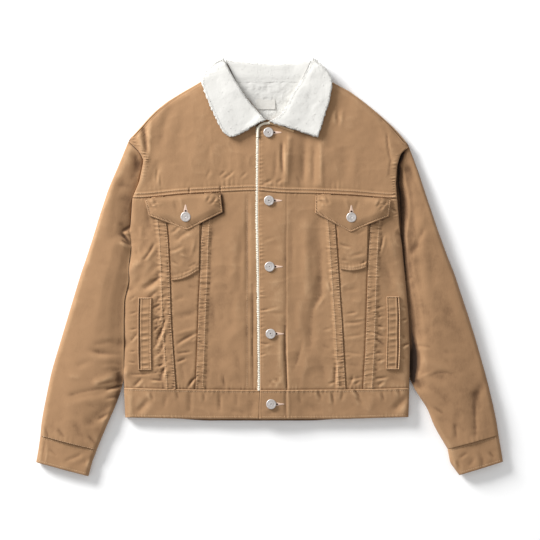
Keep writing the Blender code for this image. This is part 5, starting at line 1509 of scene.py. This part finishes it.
def build_tube(node, outer, inner, creases, step, crown, thick, start_roll, end_roll, extra,
               bend=lambda part: 0.0, valley=nowhere, painted_shade=nowhere, drop=1.0):
    """Make a sleeve or cuff from its edge lines, with its solid hidden and its grid kept."""
    width = np.hypot(*(inner - outer).T)[:, None]
    run = inner - outer

    def place(part):
        return outer[:, :1] + run[:, :1] * part + bend(part), outer[:, 1:] + run[:, 1:] * part

    share, add = spread(float(width.mean()), step, TUBE_EDGE, TUBE_EDGE)
    part = share[None] + add[None] / width
    x, y = place(part)
    from_edge = np.minimum(part, 1 - part) * width
    along = distances((outer + inner) / 2)[:, None]
    full = thick + crown * ease(from_edge, TUBE_CROWN_REACH) + large_folds(x, y) + creased(x, y, creases)
    full += 0.65 * crumple(x, y, 71)
    full = full - start_roll[0] * rolled(along, start_roll[1])
    full = full - end_roll[0] * rolled(along[-1:] - along, end_roll[1])
    full += extra(along, along[-1, 0] - along, part * width)
    full -= valley(x, y)
    lowest = np.minimum(full, SLEEVE_MIDDLE)
    joined = ease(y + 235, 25.0) * (part > 0.5)
    at_body = 1 - drop * faded(from_edge, 34.0)
    top = lowest + (full - lowest) * ((1 - joined) * quarter_round(from_edge / 9.0) + joined * at_body)
    top = np.maximum(top, TUBE_LEAST)
    low_part = np.hstack((UNDER_EDGE / width, 1.0 - UNDER_EDGE[::-1] / width))
    low_edge = np.minimum(low_part, 1 - low_part) * width
    under_x, under_y = place(low_part)
    level = np.where(low_part < 0.5, top[:, :1], top[:, -1:])
    under = level * rolled(low_edge, UNDER_EDGE[-1])
    inset = SLIT_INSET / width
    inside = inset + np.linspace(0, 1, 7)[None] * (1 - 2 * inset)
    slit_x, slit_y = place(inside)
    over = np.array([np.interp(at, row_part, row) for at, row_part, row in zip(inside, part, top)])
    middle_z = np.minimum(SLEEVE_MIDDLE, 0.55 * over)
    from_end = np.minimum(inside - inset, 1 - inset - inside) * width
    open_by = np.minimum(0.9, 0.2 * over) * quarter_round(from_end / 8.0)
    slit = (np.hstack((slit_x, slit_x[:, -2:0:-1])), np.hstack((slit_y, slit_y[:, -2:0:-1])),
            np.hstack((middle_z + open_by, (middle_z - open_by)[:, -2:0:-1])))
    piece = tube_piece(node + "_cloth", x, y, top, under_x, under_y, under, slit, valley, painted_shade)
    laid_cloth(node, x, y, top, around=2.0)


def armhole_bend(side, sign, follow, outer, inner):
    """Carry the first sections of a sleeve along the curve of its armhole."""
    top_y, bottom_y = outer[0, 1], inner[0, 1]

    def bend(part):
        level = top_y + (bottom_y - top_y) * np.clip(part, 0, 1)
        straight = outer[0, 0] + (inner[0, 0] - outer[0, 0]) * np.clip(part, 0, 1)
        return (side(level) + sign * 0.8 - straight) * follow
    return bend


def valley_left(x, y):
    """Dip of the left sleeve beside the armhole, where the body laps over it. The sleeve's colour is also
    painted darker there, as shade.
    """
    from_body = left_side(y) - x
    deep = 6.2 * faded(from_body - 2, 26.0) * ease(y - 30, 50.0) * ease(222 - y, 30.0)
    tucked = 5.0 * faded(from_body, 26.0) * bell(y + 222, 32.0)
    return deep + tucked


def valley_right(x, y):
    """Deep valley between the right sleeve and the edge of the body, widest beside the flap. The sleeve's
    colour is also painted darker there, as shade.
    """
    from_body = x - right_side(y)
    low = bell(y + 172, 36.0)
    wide = 4.5 + 8.0 * bell(y - 122, 56.0) + 9.0 * low
    deep = 5.5 + 6.0 * bell(y - 130, 75.0) + 4.0 * low
    narrow = deep * faded(from_body - 0.12 * wide, 1.8 * wide) * ease(y + 226, 10.0)
    return (narrow + 3.6 * faded(from_body, 46.0) * ease(y + 160, 80.0)) * ease(226 - y, 25.0)


def painted_shade_left(x, y):
    """Painted light and shade on the left sleeve: a little darker overall, lighter along the armhole, and
    darker where it tucks in beside the waistband.
    """
    return (0.25 - 0.45 * faded(left_side(y) - x, 30.0) * ease(y - 30, 50.0)
            + 1.6 * bell(x + 285, 9.0) * bell(y + 240, 13.0))


def painted_shade_right(x, y):
    """Painted shade on the right sleeve, which is the farthest from the light: darker overall, and darkest
    where it meets the side seam.
    """
    from_body = x - right_side(y)
    return (0.5 + 1.2 * faded(from_body - 6.0, 8.0) * bell(y + 180, 42.0)
            + 0.5 * faded(from_body, 60.0) * (bell(y + 180, 60.0) + 0.9 * bell(y - 30, 50.0)))


for side, rows, cuff_rows, body_side, sign in (("left", SLEEVE_LEFT, CUFF_LEFT, left_side, -1),
                                               ("right", SLEEVE_RIGHT, CUFF_RIGHT, right_side, 1)):
    along = distances(np.column_stack([(rows["outer_" + key] + rows["inner_" + key]) / 2 for key in "xy"]))
    places = places_along(along[-1], 2.5, (0.0, 0.4, 1.0, 2.0, 3.4, 5.0, 7.0))
    lines = {key: smooth_line(along, rows[key], 8)(places) for key in rows}
    beside = body_side(lines["inner_y"]) + sign * SEAM_GAP
    closer = faded(np.abs(lines["inner_x"] - beside) - 8.0, 4.0) * ease(lines["inner_y"] + 222.0, 20.0)
    lines["inner_x"] = lines["inner_x"] + (beside - lines["inner_x"]) * closer
    outer = np.column_stack((lines["outer_x"], lines["outer_y"]))
    inner = np.column_stack((lines["inner_x"], lines["inner_y"]))
    follow = np.clip(lines["follow"], 0, 1)[:, None]
    valley, painted_shade, drop = (valley_left, painted_shade_left, 0.4) if side == "left" else (valley_right, painted_shade_right, 1.0)
    build_tube(
        f"sleeve_{side}", outer, inner, SLEEVE_CREASES[side], step=2.6, crown=3.5,
        thick=SLEEVE_THICK - ARMHOLE_THINNER * follow, start_roll=(2.4, 7.0), end_roll=(0.7, 2.0),
        bend=armhole_bend(body_side, sign, follow, outer, inner), valley=valley, painted_shade=painted_shade, drop=drop,
        extra=lambda start, end, across: (0.25 * puckers(across, 103, 9.0) * bell(start, 9.0)
                                          + 0.22 * puckers(across, 107, 11.0) * bell(end, 11.0)))
    ends = np.array([(*outer[-1], *inner[-1])])
    run = (ends[0, 2:] - ends[0, :2]) / np.hypot(*(ends[0, 2:] - ends[0, :2]))
    down = np.array((run[1], -run[0])) * (-1 if run[0] < 0 else 1) * 0.2
    sections = np.vstack((ends + np.tile(down, 2), cuff_rows))
    along = distances((sections[:, :2] + sections[:, 2:]) / 2)
    places = places_along(along[-1], 2.0, CUFF_EDGE, CUFF_EDGE)
    lines = np.array([smooth_line(along, column, 3)(places) for column in sections.T])
    build_tube(
        f"cuff_{side}", lines[:2].T, lines[2:].T, CUFF_CREASES[side], step=2.0, crown=1.0,
        thick=CUFF_THICK, start_roll=(0.8, 1.2), end_roll=(2.2, 3.0),
        extra=lambda start, end, across: (row_groove(start, CUFF_SEAM_ROW, 0.35)
                                          + row_groove(end, CUFF_END_ROW, 0.3)
                                          + 0.2 * puckers(across, 113, 8.0) * bell(start, 8.0)))

# ----------------------------------------------------------------------------------------- stitching
# Lockstitch in thread a shade lighter than the cloth. Every stitch is a short grain that sinks in at
# both ends: two rows on the lapped seams, one round the flaps, pockets, welts, waistband and cuffs.

STITCH_PITCH = 3.3
STITCH_LONG = 2.7
STITCH_HALF = 0.36
PLACKET_ROW = -41.5       # where the under front's facing is stitched down
camel_thread = thread_finish("camel_thread", (0.66, 0.45, 0.28, 1.0))


def stitches(name, lines):
    """Rows of stitches: each a chain of points and the surface that it is sewn through."""
    points, faces = [], []
    for chain_of, surface in lines:
        spots = resample(chain_of, STITCH_PITCH)
        heights = surface(spots[:, 0], spots[:, 1])
        run = unit(np.gradient(np.column_stack((spots, heights)), axis=0))
        for (at_x, at_y), at_z, way in zip(spots[1:-1], heights[1:-1], run[1:-1]):
            centre, side = np.array((at_x, at_y, at_z + 0.12)), np.array((-way[1], way[0], 0.0))
            start = len(points)
            points.append(centre - way * STITCH_LONG / 2 - (0, 0, 0.35))
            for place in (-0.28, 0.28):
                for aside, lift in ((-1, 0), (0, 1), (1, 0), (0, -1)):
                    points.append(centre + way * STITCH_LONG * place
                                  + STITCH_HALF * (side * aside + np.array((0, 0, lift))))
            points.append(centre + way * STITCH_LONG / 2 - (0, 0, 0.35))
            for step in range(4):
                after = (step + 1) % 4
                faces.append((start, start + 1 + after, start + 1 + step))
                faces.append((start + 1 + step, start + 1 + after, start + 5 + after, start + 5 + step))
                faces.append((start + 5 + step, start + 5 + after, start + 9))
    make_piece(name, points, faces, camel_thread, sharp=3.1)


def up_line(line, away, low, high):
    """A chain that follows a seam up the garment."""
    levels = np.arange(low, high, 2.0)
    return np.column_stack((line(levels) + away, levels))


def across_line(line, away, first, last):
    """A chain that follows a seam across the garment."""
    steps = np.arange(first, last, 2.0)
    return np.column_stack((steps, line(steps) + away))


rows = []
for name, way, width, *_ in SEAM_BANDS:
    for away in (FIRST_ROW, width - SECOND_ROW):
        rows.append((up_line(seams[name], way * away, -222, 128), lower_top))
rows.append((up_line(fixed(PLACKET_ROW), 0.0, -222, 130), lower_top))
stitches("stitching_fronts", rows)
rows = []
for away in (FIRST_ROW, YOKE_BAND - SECOND_ROW):
    rows.append((across_line(yoke_seam, away, -248, -27), yoke_top))
    rows.append((across_line(yoke_seam, away, -17, 232), yoke_top))
stitches("stitching_yokes", rows)
rows = []
for first, last in ((-264, -27), (-15, 254)):
    rows.append((across_line(waist_seam, -WAIST_ROW, first, last), waist_top))
    rows.append((across_line(front_hem, HEM_ROW, first, last), waist_top))
stitches("stitching_waistband", rows)


def inside_line(x, y, away):
    """Chain round the free sides of a patch, a little inside its edge."""
    half = len(x) // 2
    column = np.argmin(np.abs(np.hypot(x[half] - x[half, -1], y[half] - y[half, -1]) - away))
    row = np.argmin(np.abs(np.hypot(x[:, 4] - x[0, 4], y[:, 4] - y[0, 4]) - away))
    return [edges(x, y, part) for part in
            (np.s_[row, :column], np.s_[row:-row, column], np.s_[-row - 1, column::-1])]


rows = []
for name in ("pocket_flap_left", "pocket_flap_right"):
    x, y, top = surfaces[name]
    for chain_of in inside_line(x, y, FLAP_ROW):
        rows.append((chain_of, height_on(x, y, top)))
stitches("stitching_flaps", rows)
rows = []
for side in ("left", "right"):
    x, y, top = surfaces[f"chest_pocket_{side}"]
    first, lowest, last = inside_line(x, y, 2.8)
    rows.append((lowest, height_on(x, y, top)))
    x, y, top = surfaces[f"pocket_welt_{side}"]
    for chain_of in inside_line(x, y, 2.0):
        rows.append((chain_of, height_on(x, y, top)))
    x, y, top = surfaces[f"cuff_{side}"]
    half = x.shape[1] // 2
    along = np.hypot(x[:, half] - x[0, half], y[:, half] - y[0, half])
    for away in (CUFF_SEAM_ROW, along[-1] - CUFF_END_ROW):
        row = int(np.argmin(np.abs(along - away)))
        rows.append((edges(x, y, np.s_[row, 5:-5]), height_on(x, y, top)))
x, y, top = surfaces["sleeve_left"]
rows.append((edges(x, y, np.s_[-3, 5:-5]), height_on(x, y, top)))
stitches("stitching_pockets_cuffs", rows)

# ------------------------------------------------------------------------- buttons, buttonholes
# Tack buttons in brushed silvery metal with a dimpled face, pressed through the cloth, and a keyhole
# buttonhole bound in thread beside each of them.

FRONT_BUTTONS = ((-2, 249), (-1, 123), (0, 1), (2, -123), (3, -253))
FLAP_BUTTONS = ((-155, 93), (151, 92))
BUTTON_PROFILE = (
    (6.6, 0.0), (8.6, 0.35), (9.1, 0.9), (9.25, 1.5), (9.1, 2.0), (8.7, 2.35), (8.1, 2.5), (7.3, 2.45),
    (6.6, 2.3), (5.8, 2.2), (4.6, 2.2), (3.2, 2.3), (2.0, 2.4), (1.5, 2.35), (1.1, 2.05), (0.7, 1.95),
)
BUTTON_TURNS = 48
metal = Finish("brushed_metal", Metallic=0.7, Roughness=0.4)
brushing = metal.speckle(0.7, 2.0, (0.2, 1.0, 1.0))
tarnish = metal.speckle(4.0, 2.0)
metal.put(Base_Color=tarnish.between(0.3, 0.75).mix((0.52, 0.48, 0.455, 1.0), (0.68, 0.64, 0.615, 1.0)))
metal.put(Roughness=brushing * 0.16 + 0.36)
metal.bump(brushing, 0.06)


def tack_button(node, x, y):
    """A tack button turned from its profile, seated where its solid is."""
    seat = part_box(node)[0][2] / MM
    points = [(x + radius * np.cos(turn), y + radius * np.sin(turn), seat + height)
              for radius, height in BUTTON_PROFILE for turn in even_turns(BUTTON_TURNS)]
    piece = make_piece(f"{node}_metal", points, ring_faces(len(BUTTON_PROFILE), BUTTON_TURNS), metal.material,
                       sharp=0.7)
    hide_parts(node)
    return seat + 2.0


def dark_dot(name, x, y, radius, level, slot):
    """A small dark disc, painted shade for the hollow of a hole: the hole in a button's face, or the eye of a
    buttonhole.
    """
    turns = even_turns(16)
    ring = np.column_stack((x + radius * np.cos(turns), y + radius * np.sin(turns)))
    points = np.vstack([np.column_stack((ring, np.full(16, height))) for height in (level - 1.0, level)])
    make_piece(name, points, ring_faces(2, 16), hole_dark.material, sharp=0.6)


hole_thread = thread_finish("buttonhole_thread", (0.72, 0.52, 0.41, 1.0))
HOLE_EYE = 1.5
HOLE_SECTION = ((-1.0, -0.25), (-0.72, 0.3), (-0.3, 0.42), (0.0, 0.2), (0.3, 0.42), (0.72, 0.3), (1.0, -0.25))
HOLE_SHADE = (0.035, 0.02, 0.014, 1.0)
hole_dark = Finish("buttonhole_eye", Base_Color=HOLE_SHADE, Roughness=1.0, Specular_IOR_Level=0.0)


def buttonhole(name, x, y, way, surface, long, open_by=1.0):
    """A keyhole buttonhole: thread bound in a wedge round its slit, with a dark round eye at the button."""
    turn = np.array((way, (-way[1], way[0])))
    steps = np.linspace(0.0, 1.0, 15)
    half = open_by * np.interp(steps, (0.0, 0.1, 0.25, 0.45, 1.0), (1.5, 2.5, 2.7, 1.9, 0.7))
    points, faces = [], []
    for step, wide in zip(steps, half):
        for part, lift in HOLE_SECTION:
            at_x, at_y = np.array((step * long, part * wide)) @ turn + (x, y)
            points.append((at_x, at_y, lift))
    points = np.array(points)
    points[:, 2] += surface(points[:, 0], points[:, 1])
    for row in range(14):
        for place in range(6):
            here = row * 7 + place
            faces.append((here, here + 1, here + 8, here + 7)[::-1])
    count = len(points)
    points = np.vstack((points, points - (0, 0, 0.8)))
    faces += [tuple(count + corner for corner in face[::-1]) for face in faces]
    rim = [*range(7), *range(13, count, 7), *range(count - 2, count - 8, -1), *range(count - 14, 0, -7)]
    faces += [(here, there, count + there, count + here)[::-1] for here, there in zip(rim, rim[1:] + rim[:1])]
    piece = make_piece(name, points, faces, hole_thread)
    centre = np.array((0.22 * long, 0.0)) @ turn + (x, y)
    level = float(np.max(surface(centre[0] + np.array((-1.4, 0, 1.4)), centre[1] + np.zeros(3)))) + 0.5
    dark_dot(name + "_eye", *centre, HOLE_EYE * open_by ** 0.5, level, "camel_cloth")


for number, (x, y) in enumerate(FRONT_BUTTONS, start=1):
    face = tack_button(f"front_button_{number}", x, y)
    dark_dot(f"front_button_{number}_hole", x, y, 0.9, face + 0.15, "button_metal")
    surface = yoke_top if y > YOKE_LEVEL + 20 else waist_top if y < -225 else lower_top
    buttonhole(f"buttonhole_{number}", x + 7.0, y, (1.0, 0.0), surface, 17.0, 1.35)
for side, (x, y) in zip(("left", "right"), FLAP_BUTTONS):
    tack_button(f"flap_button_{side}", x, y)
    grid = height_on(*surfaces[f"pocket_flap_{side}"])
    buttonhole(f"buttonhole_flap_{side}", x, y + 7.4, (0.0, 1.0), grid, 15.0, 1.7)

# ------------------------------------------------------------------------------ floor, light, camera
# A plain white floor, one large soft light high on the left and a pale room round it, seen from
# straight above.

FLOOR_HALF = 4.0          # these sizes are in metres
floor_mesh = bpy.data.meshes.new("floor")
floor_mesh.from_pydata([(x * FLOOR_HALF, y * FLOOR_HALF, 0) for x, y in ((-1, -1), (1, -1), (1, 1), (-1, 1))],
                       [], [(0, 1, 2, 3)])
FLOOR_WHITE = (0.97, 0.97, 0.97, 1.0)
white_floor = Finish("white_floor", Base_Color=FLOOR_WHITE, Roughness=0.9, Specular_IOR_Level=0.1)
floor_mesh.materials.append(white_floor.material)
floor = placed("floor", floor_mesh)

ROOM_LIGHT = 0.585
world = bpy.data.worlds.new("pale_room")
bpy.context.scene.world = world
world.use_nodes = True
room = world.node_tree.nodes["Background"].inputs
room["Color"].default_value, room["Strength"].default_value = (1.0, 1.0, 1.0, 1.0), ROOM_LIGHT

LIGHT_PLACE = Vector((-3.04, 2.62, 1.36))
LIGHT_SIZE = (1.84, 1.25)
LIGHT_POWER = 404.0
key = bpy.data.lights.new("key_light", "AREA")
key.shape, key.energy = "RECTANGLE", LIGHT_POWER
key.size, key.size_y = LIGHT_SIZE
key_light = placed("key_light", key)
key_light.location = LIGHT_PLACE
key_light.rotation_euler = LIGHT_PLACE.to_track_quat("Z", "Y").to_euler()

CAMERA_PLACE = (0.0008, -0.0052, 3.012)
LENS = 108.0
view_camera = bpy.data.cameras.new("view_from_above")
view_camera.lens, view_camera.sensor_width = LENS, 36.0
camera = placed("view_from_above", view_camera)
camera.location = CAMERA_PLACE
bpy.context.scene.camera = camera
bpy.context.scene.view_settings.view_transform = "Standard"
